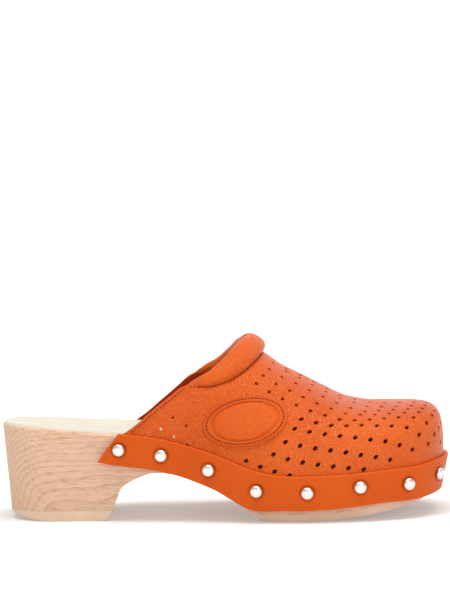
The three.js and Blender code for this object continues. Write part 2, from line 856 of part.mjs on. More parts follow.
/** Place and turn of each nail: the head's underside is at the place and its axis is Y. */
function studPlaces() {
  const places = [];
  const out = 3 * gap + leather + strapThickness;
  for (const side of [-1, 1]) {
    const start = wingRun[side] - strapEnd;
    for (const row of studRows) {
      const foot = onEdge(side, 'run', mix(start, toeRun[side], row.at));
      const z = mix(strapBottom(foot.x), strapTop(foot.x), row.up);
      const point = beside(foot, out, z);
      const up = beside(foot, out, z + 1).sub(point);
      const forward = new THREE.Vector3(-foot.ny, foot.nx, 0);
      const outward = new THREE.Vector3().crossVectors(forward, up).normalize();
      const turn = new THREE.Quaternion().setFromUnitVectors(new THREE.Vector3(0, 1, 0), outward);
      places.push({ point, turn });
    }
  }
  return places;
}

/** Domed nail with a pointed shank. */
function studSolid() {
  const head = headRows.map((row) => new THREE.Vector2((row.out * studDiameter) / 2, row.up * studDome));
  const shank = [
    new THREE.Vector2(0, -shankLength),
    new THREE.Vector2(shankDiameter / 2, shankPoint - shankLength),
    new THREE.Vector2(shankDiameter / 2, 0),
  ];
  return new THREE.LatheGeometry([...shank, ...head], studSides);
}

/** All nail holes in one solid; they go through strap and upper and into the wood. */
function nailHoles() {
  const radius = (shankDiameter / 2 + gap) / Math.cos(Math.PI / holeSides);
  const depth = shankLength + gap;
  const holes = studPlaces().map(({ point, turn }) => {
    const hole = new THREE.CylinderGeometry(radius, radius, depth, holeSides);
    hole.translate(0, -depth / 2, 0);
    hole.applyQuaternion(turn);
    hole.translate(point.x, point.y, point.z);
    return solid(hole);
  });
  return holes.reduce((all, hole) => all.add(hole));
}

const looks = {
  wood: new THREE.MeshStandardMaterial({ color: 0xdeb699, roughness: 0.6, metalness: 0 }),
  rubber: new THREE.MeshStandardMaterial({ color: 0xe0c4aa, roughness: 0.8, metalness: 0 }),
  insole: new THREE.MeshStandardMaterial({ color: 0xf0eddf, roughness: 0.6, metalness: 0 }),
  upper: new THREE.MeshStandardMaterial({ color: 0xdd6428, roughness: 0.5, metalness: 0 }),
  strap: new THREE.MeshStandardMaterial({ color: 0xd75c22, roughness: 0.4, metalness: 0 }),
  stud: new THREE.MeshStandardMaterial({ color: 0xe4e4e4, roughness: 0.15, metalness: 1 }),
};

const shoe = new THREE.Group();

function add(name, geometry, material) {
  const mesh = new THREE.Mesh(geometry, material);
  mesh.name = name;
  shoe.add(mesh);
  return mesh;
}

add('sole', soleSolid(), looks.wood);
add('outsole', outsoleSolid(), looks.rubber);
add('heel_piece', heelPieceSolid(), looks.rubber);
add('insole', insoleSolid(), looks.insole);
add('upper', upperSolid(), looks.upper);
add('collar', collarSolid(0), looks.upper);
add('strap', strapSolid(), looks.strap);
add('badge_patch', badgeSolid(), looks.upper);
studPlaces().forEach(({ point, turn }, i) => {
  const stud = add(`stud_${String(i + 1).padStart(2, '0')}`, studSolid(), looks.stud);
  stud.position.copy(point);
  stud.quaternion.copy(turn);
});

// The origin lies on the floor under the middle of the shoe
const extent = new THREE.Box3().setFromObject(shoe, true);
const middle = extent.getCenter(new THREE.Vector3());
shoe.position.set(-middle.x, -middle.y, -extent.min.z);
const part = new THREE.Group();
part.add(shoe);

export default part;
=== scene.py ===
"""Looks of a leather clog mule on a wooden sole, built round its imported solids.

Metres. X runs from heel to toe, Z is up, and the outer side of the foot faces -Y. Shapes are worked out
with the heel's back at x = 0 and the sole's middle line at y = 0, and are then moved to where the solids lie.
"""

import math

import bmesh
import bpy
import numpy as np
from mathutils import Matrix, Vector
from mathutils.geometry import delaunay_2d_cdt
from mathutils.kdtree import KDTree


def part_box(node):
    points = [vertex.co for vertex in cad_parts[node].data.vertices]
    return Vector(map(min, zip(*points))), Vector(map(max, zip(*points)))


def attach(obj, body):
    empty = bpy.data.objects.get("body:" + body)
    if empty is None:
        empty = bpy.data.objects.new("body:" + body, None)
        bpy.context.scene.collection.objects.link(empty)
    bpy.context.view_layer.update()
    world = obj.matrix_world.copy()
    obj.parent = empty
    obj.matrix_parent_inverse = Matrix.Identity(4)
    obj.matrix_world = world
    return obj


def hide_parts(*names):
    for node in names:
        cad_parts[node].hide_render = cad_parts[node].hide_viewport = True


MM = 0.001
OUTER, INNER = SIDES = (-1, 1)

# Wooden sole
SOLE_LENGTH = 245.5 * MM
BALL_WIDTH = 90 * MM
HEEL_WIDTH = 60 * MM
HEEL_HEIGHT = 53.4 * MM
BALL_HEIGHT = 24.6 * MM
TOE_HEIGHT = 29.2 * MM
HEEL_LENGTH = 60.6 * MM
BREAST_RUN = 31.2 * MM
BREAST_SLANT = 2.8 * MM
SLANT_DEPTHS = (3 * MM, 12 * MM)
ARCH_THICKNESS = 18.3 * MM
SIDE_LEAN = 0.075
TOP_ROUND = 1.6 * MM
LOW_ROUND = 0.3 * MM
TOE_LEAN = 0.24
FOOTBED_DISH = 2.2 * MM
HEEL_CAP = 0.124
TOE_START = {OUTER: 0.7, INNER: 0.74}
TOE_FULLNESS = {OUTER: 2.4, INNER: 2.6}

# Rubber
OUTSOLE_THICKNESS = 4 * MM
OUTSOLE_INSET = 1.3 * MM
TOE_SPRING = 10.6 * MM
SPRING_START = 172 * MM
SPRING_CURVE = 1.8
OUTSOLE_BEVEL = 6.5 * MM
OUTSOLE_BEVEL_LENGTH = 16 * MM
HEEL_PIECE_THICKNESS = 5.5 * MM
HEEL_BEVEL = 4.2 * MM
HEEL_BEVEL_LENGTH = 25 * MM
HEEL_BEVEL_CURVE = 1.5
TREAD_PITCH = 2.0 * MM
TREAD_DEPTH = 0.4 * MM
RUBBER_ROUND = 0.4 * MM

# Leather
LEATHER = 1.8 * MM
INSOLE_THICKNESS = 1.2 * MM
INSOLE_INSET = 1.3 * MM
INSOLE_ROUND = 0.7 * MM
THROAT_X = 148.2 * MM
INSTEP_HEIGHT = 89.2 * MM
TOE_BOX_HEIGHT = 60.9 * MM
WING_X = 71.2 * MM
FAN_START = 130 * MM
TOE_PIVOT = 223.5 * MM
SPINE_SHIFT = 12 * MM
TURN_EASE = 1.6
STRAP_THICKNESS = 2.2 * MM
STRAP_WIDTH = 18.5 * MM
STRAP_RISE = 1.3 * MM
STRAP_TOE_RISE = 1.3 * MM
STRAP_SLANT = 10.5 * MM
STRAP_SLANT_LENGTH = 25 * MM
STRAP_END = 2.6 * MM
STRAP_ROUND = 0.7 * MM
DIMPLE_DEPTH = 1.1 * MM
DIMPLE_RADIUS = 4.35 * MM
SKIRT_STOP = 1.5 * MM
COLLAR_WIDTH = 13.6 * MM
COLLAR_THICKNESS = 12.4 * MM
COLLAR_TIP = 0.465
COLLAR_SINK = 1.6 * MM
INNER_RISE = 2.2 * MM
BADGE_LENGTH = 47.5 * MM
BADGE_HEIGHT = 26 * MM
BADGE_THICKNESS = 1.4 * MM
BADGE_TILT = 8
BADGE_STITCH = 1.3 * MM
BADGE_GROOVE = 3 * MM
BADGE_X = 139.2 * MM
BADGE_Z = 55.4 * MM
STUD_RADIUS = 3.5 * MM
STUD_DOME = 1.9 * MM
SHANK_RADIUS = 1 * MM
SHANK_LENGTH = 3 * MM
GAP = 0.3 * MM

# Perforations and stitches
HOLE_RADIUS = 1.12 * MM
SMALL_HOLE_RADIUS = 0.8 * MM
HOLE_PITCH = 8.4 * MM
HOLE_SPACING = 5.2 * MM
HOLE_STRETCH = 0.4
STRETCH_X = (118 * MM, 148 * MM)
STRETCH_TURN = (0.5, 0.62)
HOLE_MARGIN = 0.7 * MM
HOLE_CLEARANCE = 2.1 * MM
HOLE_SLANT = 38
STITCH_PITCH = 2.1 * MM
STITCH_LENGTH = 1.5 * MM
STITCH_RADIUS = 0.34 * MM
STITCH_LIFT = 0.22 * MM
HEM_STITCH = 1.6 * MM
HEM_WIDTH = 2.9 * MM
HEM_RISE = 0.35 * MM
HEM_SLOPE = 0.9 * MM
HEM_GROOVE = 0.25 * MM
HEM_ROUND = 0.3 * MM
SEAM_GAP = 0.5 * MM
SEAM_FURROW = 0.35 * MM
SEAM_FOLD = 0.8 * MM
FOLD_GAP = 3.4 * MM
FOLD_END = 0.34

# Outline of the wood seen from above: share of the length, and shares from heel to ball of the half width
OUTLINE = {
    "at": (0.0, 0.2, 0.3, 0.4, 0.5, 0.6, 0.7, 0.76, 1.0),
    "outer": (0.0, 0.0, 0.1, 0.23, 0.52, 0.82, 1.0, 1.0, 1.0),
    "inner": (0.0, 0.0, 0.02, 0.03, 0.24, 0.62, 0.95, 1.0, 1.0),
}
# How much higher, in mm, the footbed's inner rim lies than its outer rim
TILT = {
    "at": (0.0, 0.1, 0.2, 0.3, 0.42, 0.6),
    "up": (0.0, -1.3, -0.5, 0.9, 0.8, 0.0),
}
# Rim of the footbed: share of the drop from heel to ball, and of the rise to the toe
RIM = {
    "at": (0.0, 0.115, 0.195, 0.27, 0.355, 0.4, 0.446, 0.49,
           0.536, 0.58, 0.626, 0.69, 0.7825, 0.87, 0.936, 1.0),
    "heel": (1.0, 0.962, 0.892, 0.826, 0.743, 0.663, 0.559, 0.444,
             0.285, 0.135, 0.035, 0.0, 0.0, 0.0, 0.0, 0.0),
    "toe": (0.0, 0.0, 0.0, 0.0, 0.0, 0.0, 0.0, 0.0, 0.0, 0.0, 0.0, 0.0, 0.11, 0.46, 0.65, 1.0),
}
# Depth of the footbed's dish, the rise of the heel's front, and how the wood thickens over the arch
DISH = {
    "at": (0.0, 0.1, 0.36, 0.6, 0.88, 1.0),
    "dish": (0.0, 1.0, 1.0, 0.45, 0.45, 0.0),
}
BREAST = {
    "at": (0.0, 0.074, 0.173, 0.231, 0.27, 0.362, 0.452, 0.545, 0.638, 0.73, 0.82, 1.0),
    "up": (0.0, 0.19, 0.47, 0.62, 0.69, 0.775, 0.83, 0.885, 0.93, 0.967, 0.995, 1.0),
}
THICKNESS = {
    "at": (0.374, 0.397, 0.42, 0.46, 0.505, 0.55, 0.575, 0.605),
    "thick": (1.0, 0.97, 0.94, 0.955, 1.0, 1.115, 1.32, 1.5),
}
# Height of the strap along the shoe, as a share of STRAP_WIDTH
STRAP = {
    "at": (0.22, 0.27, 0.41, 0.5, 0.575, 0.61, 0.65, 0.74, 0.87, 0.93, 1.0),
    "drop": (0.9, 0.965, 0.99, 1.08, 1.225, 1.14, 1.05, 1.02, 0.97, 1.0, 0.96),
}
# Ridge of the upper: share of its rise from toe box to throat, and share of its shift to the inner side
RIDGE = {
    "at": (0.29, 0.43, 0.49, 0.53, 0.57, 0.607, 0.642, 0.688, 0.733, 0.778, 0.823, 0.87),
    "up": (1.69, 1.62, 1.52, 1.39, 1.21, 1.0, 0.777, 0.565, 0.353, 0.148, 0.046, 0.0),
    "shift": (0.12, 0.15, 0.17, 0.19, 0.21, 0.25, 0.3, 0.38, 0.42, 0.44, 0.58, 1.0),
}
# Curve of the upper's ribs: how flat they run over the ridge, and how full they rise from the edge
RIBS = {
    "at": (0.29, 0.5, 0.6, 0.7, 0.8, 0.9, 0.96, 1.0),
    "flat": (2.0, 2.0, 1.9, 1.6, 1.35, 1.4, 2.6, 4.5),
    "full": (2.0, 2.0, 2.1, 2.6, 3.6, 4.6, 5.0, 5.0),
}
# Rise of the topline from the wing to the throat
EDGE = {
    "at": (0.0, 0.052, 0.121, 0.191, 0.266, 0.343, 0.42, 0.494,
           0.558, 0.636, 0.708, 0.779, 0.844, 0.909, 1.0),
    "up": (0.0, 0.066, 0.165, 0.281, 0.395, 0.509, 0.62, 0.672,
           0.701, 0.734, 0.797, 0.881, 0.985, 1.1, 1.25),
}
# Width and thickness of the padded roll from its tip to the throat
COLLAR = {
    "at": (0.0, 0.12, 0.28, 0.45, 0.65, 0.85, 1.0),
    "wide": (0.06, 0.36, 0.66, 0.92, 1.03, 1.0, 1.0),
    "thick": (0.06, 0.3, 0.48, 0.62, 0.78, 0.94, 1.0),
}
# Places of the nails: share of the strap's run, and of its height
STUDS = [(0.002, 0.5), (0.119, 0.5), (0.253, 0.5), (0.385, 0.5),
         (0.522, 0.52), (0.662, 0.58), (0.795, 0.5), (0.906, 0.56)]
# Rows of perforations on each side, from the strap to the ridge: rib and turn at each bend of a row
HOLE_ROWS = [
    [(0.349, 0.145), (0.389, 0.128), (0.432, 0.093), (0.474, 0.043)],
    [(0.425, 0.256), (0.506, 0.178), (0.591, 0.095), (0.672, 0.03)],
    [(0.459, 0.351), (0.539, 0.286), (0.621, 0.213), (0.7, 0.12), (0.771, 0.035)],
    [(0.485, 0.446), (0.567, 0.396), (0.652, 0.351), (0.734, 0.266), (0.804, 0.14), (0.84, 0.05)],
    [(0.504, 0.516), (0.588, 0.471), (0.678, 0.484), (0.768, 0.449), (0.808, 0.406), (0.837, 0.286),
     (0.868, 0.148), (0.88, 0.08)],
    [(0.378, 0.672), (0.454, 0.642), (0.532, 0.586), (0.618, 0.534), (0.71, 0.554), (0.803, 0.576),
     (0.851, 0.554), (0.877, 0.421), (0.898, 0.243), (0.915, 0.09)],
    [(0.396, 0.744), (0.475, 0.717), (0.555, 0.657), (0.641, 0.609), (0.735, 0.624), (0.828, 0.657),
     (0.88, 0.654), (0.916, 0.539), (0.927, 0.321), (0.935, 0.08)],
    [(0.412, 0.82), (0.492, 0.799), (0.578, 0.747), (0.665, 0.697), (0.705, 0.662), (0.765, 0.694),
     (0.861, 0.737), (0.911, 0.722), (0.95, 0.602), (0.96, 0.378), (0.967, 0.09)],
    [(0.422, 0.912), (0.505, 0.88), (0.594, 0.832), (0.69, 0.802), (0.731, 0.749), (0.787, 0.767),
     (0.84, 0.802), (0.89, 0.81), (0.945, 0.774)],
    [(0.423, 0.955), (0.551, 0.925), (0.604, 0.912), (0.69, 0.89), (0.767, 0.865), (0.818, 0.877),
     (0.89, 0.922), (0.963, 0.902), (0.985, 0.8)],
]
# A nail's head from its middle to its rim: shares of its radius and of its height
STUD_PROFILE = [(0.006, 1.0), (0.3, 0.985), (0.55, 0.94), (0.72, 0.86), (0.85, 0.72), (0.94, 0.5),
                (0.99, 0.25), (1.0, 0.1), (0.95, 0.0)]
# Small holes of each wing: rib and turn
WING_HOLES = [(0.074, 0.07), (0.107, 0.188), (0.143, 0.303), (0.143, 0.133), (0.18, 0.263), (0.182, 0.075)]


def through(table, name):
    """Smooth curve without overshoot through a table's column, against its column at."""
    at, value = np.array(table["at"]), np.array(table[name])
    run = np.diff(at)
    slope = np.diff(value) / run
    before, after = slope[:-1], slope[1:]
    same = before * after > 0
    inside = np.where(same, 2 * before * after / np.where(same, before + after, 1), 0)
    tangent = np.concatenate([slope[:1], inside, slope[-1:]])

    def curve(x):
        x = np.clip(x, at[0], at[-1])
        i = np.clip(np.searchsorted(at, x) - 1, 0, len(at) - 2)
        t = (x - at[i]) / run[i]
        ends = value[i] * (1 + 2 * t) * (1 - t) ** 2 + value[i + 1] * t * t * (3 - 2 * t)
        return ends + run[i] * (tangent[i] * t * (1 - t) ** 2 + tangent[i + 1] * t * t * (t - 1))

    return curve


outline = {OUTER: through(OUTLINE, "outer"), INNER: through(OUTLINE, "inner")}
rim_heel, rim_toe = through(RIM, "heel"), through(RIM, "toe")
dish_share = through(DISH, "dish")
footbed_tilt = through(TILT, "up")
breast_up = through(BREAST, "up")
wood_thick = through(THICKNESS, "thick")
strap_drop = through(STRAP, "drop")
ridge_up, ridge_shift = through(RIDGE, "up"), through(RIDGE, "shift")
rib_flat, rib_full = through(RIBS, "flat"), through(RIBS, "full")
edge_up = through(EDGE, "up")
collar_wide, collar_thick = through(COLLAR, "wide"), through(COLLAR, "thick")


def mix(a, b, t):
    return a + (b - a) * t


def smooth(low, high, x):
    t = np.clip((x - low) / (high - low), 0, 1)
    return t * t * (3 - 2 * t)


def eased(count):
    """Shares from 0 to 1, closer together at both ends."""
    return (1 - np.cos(np.pi * np.arange(count + 1) / count)) / 2


def circle(count):
    return 2 * np.pi * np.arange(count) / count


def run_along(points):
    """How far along a line each of its points is."""
    return np.concatenate([[0], np.cumsum(np.linalg.norm(np.diff(points, axis=0), axis=1))])


def crossing(low, high, rising):
    """The value where rising(value) changes from false to true."""
    for _ in range(40):
        middle = (low + high) / 2
        if rising(middle):
            high = middle
        else:
            low = middle
    return (low + high) / 2


def rim_height(x):
    at = x / SOLE_LENGTH
    return BALL_HEIGHT + (HEEL_HEIGHT - BALL_HEIGHT) * rim_heel(at) + (TOE_HEIGHT - BALL_HEIGHT) * rim_toe(at)


def spring(x):
    return TOE_SPRING * np.maximum(0, (x - SPRING_START) / (SOLE_LENGTH - SPRING_START)) ** SPRING_CURVE


def underside(x):
    arch_x = HEEL_LENGTH + BREAST_RUN
    arch_top = rim_height(arch_x) - ARCH_THICKNESS
    heel = np.maximum(HEEL_PIECE_THICKNESS + GAP, arch_top * breast_up((x - HEEL_LENGTH) / BREAST_RUN))
    arch = rim_height(x) - ARCH_THICKNESS * wood_thick(x / SOLE_LENGTH)
    front = np.maximum(arch, OUTSOLE_THICKNESS + GAP + spring(x))
    return np.where(x < arch_x, heel, front)


def half_width(side, at):
    width = mix(HEEL_WIDTH, BALL_WIDTH, outline[side](at)) / 2
    back = np.clip(at / HEEL_CAP, 0, 1)
    front = np.maximum(0, (at - TOE_START[side]) / (1 - TOE_START[side]))
    full = TOE_FULLNESS[side]
    return width * np.sqrt(back * (2 - back)) * np.maximum(0, 1 - front**full) ** (1 / full)


def edge_line(side):
    """The wood's edge on one side from heel to toe, with its run and outward direction."""
    at = eased(1600)
    x = at * SOLE_LENGTH
    y = side * half_width(side, at)
    run = run_along(np.stack([x, y], -1))
    nx = -side * np.gradient(y, run)
    ny = side * np.gradient(x, run)
    size = np.hypot(nx, ny)
    nx, ny = nx / size, ny / size
    nx[0], ny[0], nx[-1], ny[-1] = -1, 0, 1, 0
    return {"x": x, "y": y, "run": run, "nx": nx, "ny": ny}


edges = {side: edge_line(side) for side in SIDES}


def on_edge(side, measure, value):
    line = edges[side]
    run = np.interp(value, line[measure], line["run"])
    return {name: np.interp(run, line["run"], line[name]) for name in line}


def beside(place, out, z):
    """A point beside the wood's edge; the side leans in below the rim."""
    front = np.maximum(0, place["nx"])
    lean = SIDE_LEAN + (TOE_LEAN - SIDE_LEAN) * front * front
    away = out - lean * np.maximum(0, rim_height(place["x"]) - z)
    return np.stack([place["x"] + place["nx"] * away, place["y"] + place["ny"] * away, z + 0 * away], -1)


wing_run = {side: float(on_edge(side, "x", WING_X)["run"]) for side in SIDES}
toe_run = {side: float(edges[side]["run"][-1]) for side in SIDES}


def rib_foot(side, rib):
    return on_edge(side, "run", mix(wing_run[side], toe_run[side], rib))


def rib_foot_x(rib):
    return (rib_foot(OUTER, rib)["x"] + rib_foot(INNER, rib)["x"]) / 2


RATE_STEP = 0.01
fan_rib = crossing(0, 1, lambda rib: rib_foot_x(rib) > FAN_START)
fan_rate = (rib_foot_x(fan_rib + RATE_STEP) - rib_foot_x(fan_rib)) / RATE_STEP
fan_power = fan_rate * (1 - fan_rib) / (TOE_PIVOT - FAN_START)


def ridge_x(rib):
    left = np.maximum(0, (1 - rib) / (1 - fan_rib))
    return np.where(rib < fan_rib, rib_foot_x(rib), mix(FAN_START, TOE_PIVOT, 1 - left**fan_power))


def ridge_height(x):
    return mix(TOE_BOX_HEIGHT, INSTEP_HEIGHT, ridge_up(x / SOLE_LENGTH))


def upper_point(side, rib, turn):
    """A point of the upper's outer face: turn runs from 0 at the wood's edge to 1 at the ridge."""
    foot = rib_foot(side, rib)
    low = beside(foot, GAP + LEATHER, rim_height(foot["x"]))
    x = ridge_x(rib)
    top = np.stack([x, SPINE_SHIFT * ridge_shift(x / SOLE_LENGTH), ridge_height(x)], -1)
    share = rib_foot_x(rib) / SOLE_LENGTH
    angle = np.pi / 2 * np.clip(turn, 0, 1) ** TURN_EASE
    inward = 1 - np.maximum(0, np.cos(angle)) ** (2 / rib_flat(share))
    upward = np.sin(angle) ** (2 / rib_full(share))
    along = np.stack([inward, inward, upward], -1)
    return low + (top - low) * along


def unit(v):
    return v / np.maximum(np.linalg.norm(v, axis=-1, keepdims=True), 1e-12)


def upper_slopes(side, rib, turn):
    """How the face moves with rib and with turn."""
    step = 0.004
    low, high = np.clip(rib - step, 0, 1), np.clip(rib + step, 0, 1)
    down, up = np.clip(turn - step, 0, 1), np.clip(turn + step, 0, 1)
    along = (upper_point(side, high, turn) - upper_point(side, low, turn)) / (high - low)[..., None]
    rise = (upper_point(side, rib, up) - upper_point(side, rib, down)) / (up - down)[..., None]
    return along, rise


NORMAL_LIMIT = 0.985


def upper_normal(side, rib, turn):
    """Outward direction of the face. Near the ridge and the toe's middle line it leans on the other half."""
    along, rise = upper_slopes(side, *np.minimum((rib, turn), NORMAL_LIMIT))
    side = np.asarray(side)[..., None]
    return unit(np.cross(along, rise) * -side)


def edge_height(side, x):
    """Height of the topline. The inner side's lies higher half way up."""
    low = rim_height(WING_X) + STRAP_RISE
    share = (x - WING_X) / (THROAT_X - WING_X)
    rise = INNER_RISE * smooth(0.2, 0.6, share) * (1 - smooth(0.82, 1.0, share)) if side == INNER else 0.0
    return mix(low, INSTEP_HEIGHT, edge_up(share)) + rise


throat_rib = crossing(0, 1, lambda rib: ridge_height(ridge_x(rib)) < edge_height(OUTER, ridge_x(rib)))


def rib_end(side, rib):
    """How far up a rib the upper goes."""

    def over(turn):
        point = upper_point(side, rib, turn)
        return point[2] > edge_height(side, point[0])

    return crossing(0, 1, over) if rib < throat_rib and over(1.0) else 1.0


def strap_top(x):
    return rim_height(x) + STRAP_RISE + STRAP_TOE_RISE * smooth(0.94, 1.0, x / SOLE_LENGTH)


def strap_bottom(x):
    return rim_height(x) + STRAP_RISE - STRAP_WIDTH * strap_drop(x / SOLE_LENGTH)


def strap_places(side, rib):
    run = mix(wing_run[side], toe_run[side], rib)
    slant = STRAP_SLANT * np.maximum(0, 1 - (run - wing_run[side]) / STRAP_SLANT_LENGTH)
    return on_edge(side, "run", run), on_edge(side, "run", run - slant)


# The frame, and the way from the shapes' own origin to it

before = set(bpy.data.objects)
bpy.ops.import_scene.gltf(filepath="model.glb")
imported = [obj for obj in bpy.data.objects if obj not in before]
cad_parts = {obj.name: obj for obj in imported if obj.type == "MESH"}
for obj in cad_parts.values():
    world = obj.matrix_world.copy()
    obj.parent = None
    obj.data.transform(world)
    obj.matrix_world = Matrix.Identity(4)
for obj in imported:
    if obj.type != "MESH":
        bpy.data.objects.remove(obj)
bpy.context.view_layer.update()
sole_low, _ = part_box("sole")
widest = float(np.max(-edges[OUTER]["y"]))
SHIFT = np.array([sole_low.x, sole_low.y + widest, 0.0])


# Materials

WARM_GLOSS = (1.0, 0.8, 0.62, 1.0)
# Each leather's colour with a darker and a lighter tone, roughness, pebble size, strength of its grain and of
# its painted crease shade, gloss
LEATHERS = {
    "pebbled_leather": ((219, 91, 15), (211, 83, 11), (227, 99, 23), 0.31, 1.25 * MM, 0.72, 0.42),
    # The upper's inner faces: a darker, redder copy of the orange leather, as painted shade
    "shaded_inner_leather": ((178, 52, 14), (166, 44, 10), (188, 60, 18), 0.6, 1.2 * MM, 0.3, 0.15),
    "soft_leather": ((221, 93, 17), (212, 84, 12), (229, 101, 25), 0.35, 1.1 * MM, 0.75, 0.36),
    "smooth_leather": ((206, 83, 15), (201, 78, 13), (211, 87, 19), 0.48, 0.7 * MM, 0.15, 0.2),
    "badge_leather": ((213, 88, 16), (207, 82, 12), (219, 94, 21), 0.38, 1.1 * MM, 0.5, 0.32),
}


def principled(name, color, roughness, **sockets):
    """A new material; returns it with its node tree and shader."""
    made = bpy.data.materials.new(name)
    made.use_nodes = True
    shader = made.node_tree.nodes["Principled BSDF"]
    shader.inputs["Base Color"].default_value = (*color, 1)
    shader.inputs["Roughness"].default_value = roughness
    for socket, value in sockets.items():
        shader.inputs[socket.replace("_", " ")].default_value = value
    return made, made.node_tree, shader


def srgb(*seen):
    """A colour seen as 0 to 255 values, in linear light."""
    shares = [value / 255 for value in seen]
    return tuple(v / 12.92 if v <= 0.04 else ((v + 0.055) / 1.055) ** 2.4 for v in shares)


def node(tree, kind, inputs, **settings):
    made = tree.nodes.new("ShaderNode" + kind)
    for name, value in settings.items():
        setattr(made, name, value)
    for name, value in inputs.items():
        if isinstance(value, bpy.types.NodeSocket):
            tree.links.new(value, made.inputs[name])
        else:
            made.inputs[name].default_value = value
    return made


def result(tree, kind, inputs, output=0, **settings):
    return node(tree, kind, inputs, **settings).outputs[output]


def stretched(tree, vector, scale, place=(0, 0, 0)):
    return result(tree, "Mapping", {"Vector": vector, "Scale": scale, "Location": place})


def coordinates(tree, scale=(1, 1, 1)):
    return stretched(tree, result(tree, "TexCoord", {}, "Object"), scale)


def added(tree, vector, colors, size):
    """A place moved by a colour noise of a size in metres."""
    scaled = result(tree, "VectorMath", {0: colors, 3: size}, operation="SCALE")
    return result(tree, "VectorMath", {0: vector, 1: scaled}, operation="ADD")


def noise(tree, vector, scale, detail=2.0, roughness=0.5, output="Fac"):
    inputs = {"Vector": vector, "Scale": scale, "Detail": detail, "Roughness": roughness}
    return result(tree, "TexNoise", inputs, output)


def cells(tree, vector, scale):
    """How far a place is from the edge of its cell."""
    inputs = {"Vector": vector, "Scale": scale}
    return result(tree, "TexVoronoi", inputs, "Distance", feature="DISTANCE_TO_EDGE")


def ranged(tree, value, low, high, start=0.0, end=1.0):
    inputs = {"Value": value, "From Min": start, "From Max": end, "To Min": low, "To Max": high}
    return result(tree, "MapRange", inputs)


def ramp(tree, value, stops):
    """A colour ramp from (position, colour or grey) stops."""
    made = node(tree, "ValToRGB", {"Fac": value})
    elements = made.color_ramp.elements
    while len(elements) < len(stops):
        elements.new(0.5)
    for element, (position, color) in zip(elements, stops):
        element.position = position
        element.color = (*color, 1) if isinstance(color, tuple) else (color, color, color, 1)
    return made.outputs["Color"]


def blend_colors(tree, kind, share, a, b):
    a, b = (value if isinstance(value, bpy.types.NodeSocket) else (*value, 1) for value in (a, b))
    return result(tree, "Mix", {0: share, 6: a, 7: b}, 2, data_type="RGBA", blend_type=kind)


def dress(tree, shader, layers, color=None):
    """The shader's colour, and bumps on top of one another: (height, depth in metres, strength)."""
    if color is not None:
        tree.links.new(color, shader.inputs["Base Color"])
    below = None
    for height, depth, strength in layers:
        made = node(tree, "Bump", {"Height": height, "Distance": depth, "Strength": strength})
        if below is not None:
            tree.links.new(below, made.inputs["Normal"])
        below = made.outputs["Normal"]
    tree.links.new(below, shader.inputs["Normal"])


def leather_look(name, color, dark, light, roughness, pebble, grain, gloss):
    """Orange leather: pebbles of a size in metres, fine pores, and slow changes of tone and gloss; painted
    shade darkens the creases between pebbles and a faint painted highlight lifts their tops.
    """
    color, dark, light = (srgb(*seen) for seen in (color, dark, light))
    made, tree, shader = principled(name, color, roughness, Specular_IOR_Level=gloss)
    shader.inputs["Specular Tint"].default_value = WARM_GLOSS
    place = coordinates(tree)
    wobble = noise(tree, place, 0.35 / pebble, 1.0, output="Color")
    edge = cells(tree, added(tree, place, wobble, 1.2 * pebble), 1 / pebble)
    crease = ramp(tree, edge, [(0.0, 0.0), (0.16, 0.75), (0.45, 1.0)])
    pores = noise(tree, place, 2600, 3.0)
    waves = noise(tree, place, 90)
    toned = ramp(tree, noise(tree, place, 22), [(0.3, dark), (0.5, color), (0.72, light)])
    # Painted shade: the colour is darkened in the creases between pebbles, with a faint painted highlight on
    # their tops
    shade = ramp(tree, crease, [(0.0, 0.8), (0.5, 1.0), (1.0, 1.06)])
    rough = ranged(tree, waves, roughness - 0.06, roughness + 0.1)
    tree.links.new(rough, shader.inputs["Roughness"])
    layers = [(waves, 0.5 * MM, 0.3), (crease, 0.4 * pebble, grain), (pores, 0.05 * MM, 0.35)]
    dress(tree, shader, layers, blend_colors(tree, "MULTIPLY", grain, toned, shade))
    return made


def wood_look():
    """Beech: rings round a heart beside the sole, short dark rays and fine fibres along it."""
    pale, mid, deep = srgb(225, 189, 162), srgb(220, 183, 155), srgb(200, 158, 128)
    made, tree, shader = principled("beech", mid, 0.55, Specular_IOR_Level=0.3)
    drift = noise(tree, coordinates(tree, (12, 30, 30)), 1.0, output="Color")
    moved = added(tree, coordinates(tree), drift, 12 * MM)
    heart = stretched(tree, moved, (0, 1, 1), (0, 0.046, -0.008))
    wave = {"Vector": heart, "Scale": 125.0, "Distortion": 1.6, "Detail": 2.0, "Detail Scale": 1.4}
    shape = {"wave_type": "RINGS", "rings_direction": "X", "wave_profile": "SAW"}
    rings = result(tree, "TexWave", wave, "Fac", **shape)
    ring_tone = ramp(tree, rings, [(0.0, pale), (0.6, mid), (0.95, deep), (1.0, pale)])
    plain = blend_colors(tree, "MIX", 0.6, mid, ring_tone)
    rays = noise(tree, stretched(tree, moved, (150, 1200, 1400)), 1.0, 1.0)
    ray_tone = ramp(tree, rays, [(0.33, (0.78, 0.69, 0.62)), (0.44, (0.96, 0.94, 0.92)), (0.5, 1.0)])
    fibres = noise(tree, coordinates(tree, (45, 900, 900)), 1.0, 3.0, 0.6)
    fibre_tone = ramp(tree, fibres, [(0.25, (0.93, 0.9, 0.88)), (0.7, 1.03)])
    rayed = blend_colors(tree, "MULTIPLY", 0.7, plain, ray_tone)
    layers = [(fibres, 0.08 * MM, 0.4), (rays, 0.1 * MM, 0.4)]
    dress(tree, shader, layers, blend_colors(tree, "MULTIPLY", 0.85, rayed, fibre_tone))
    return made


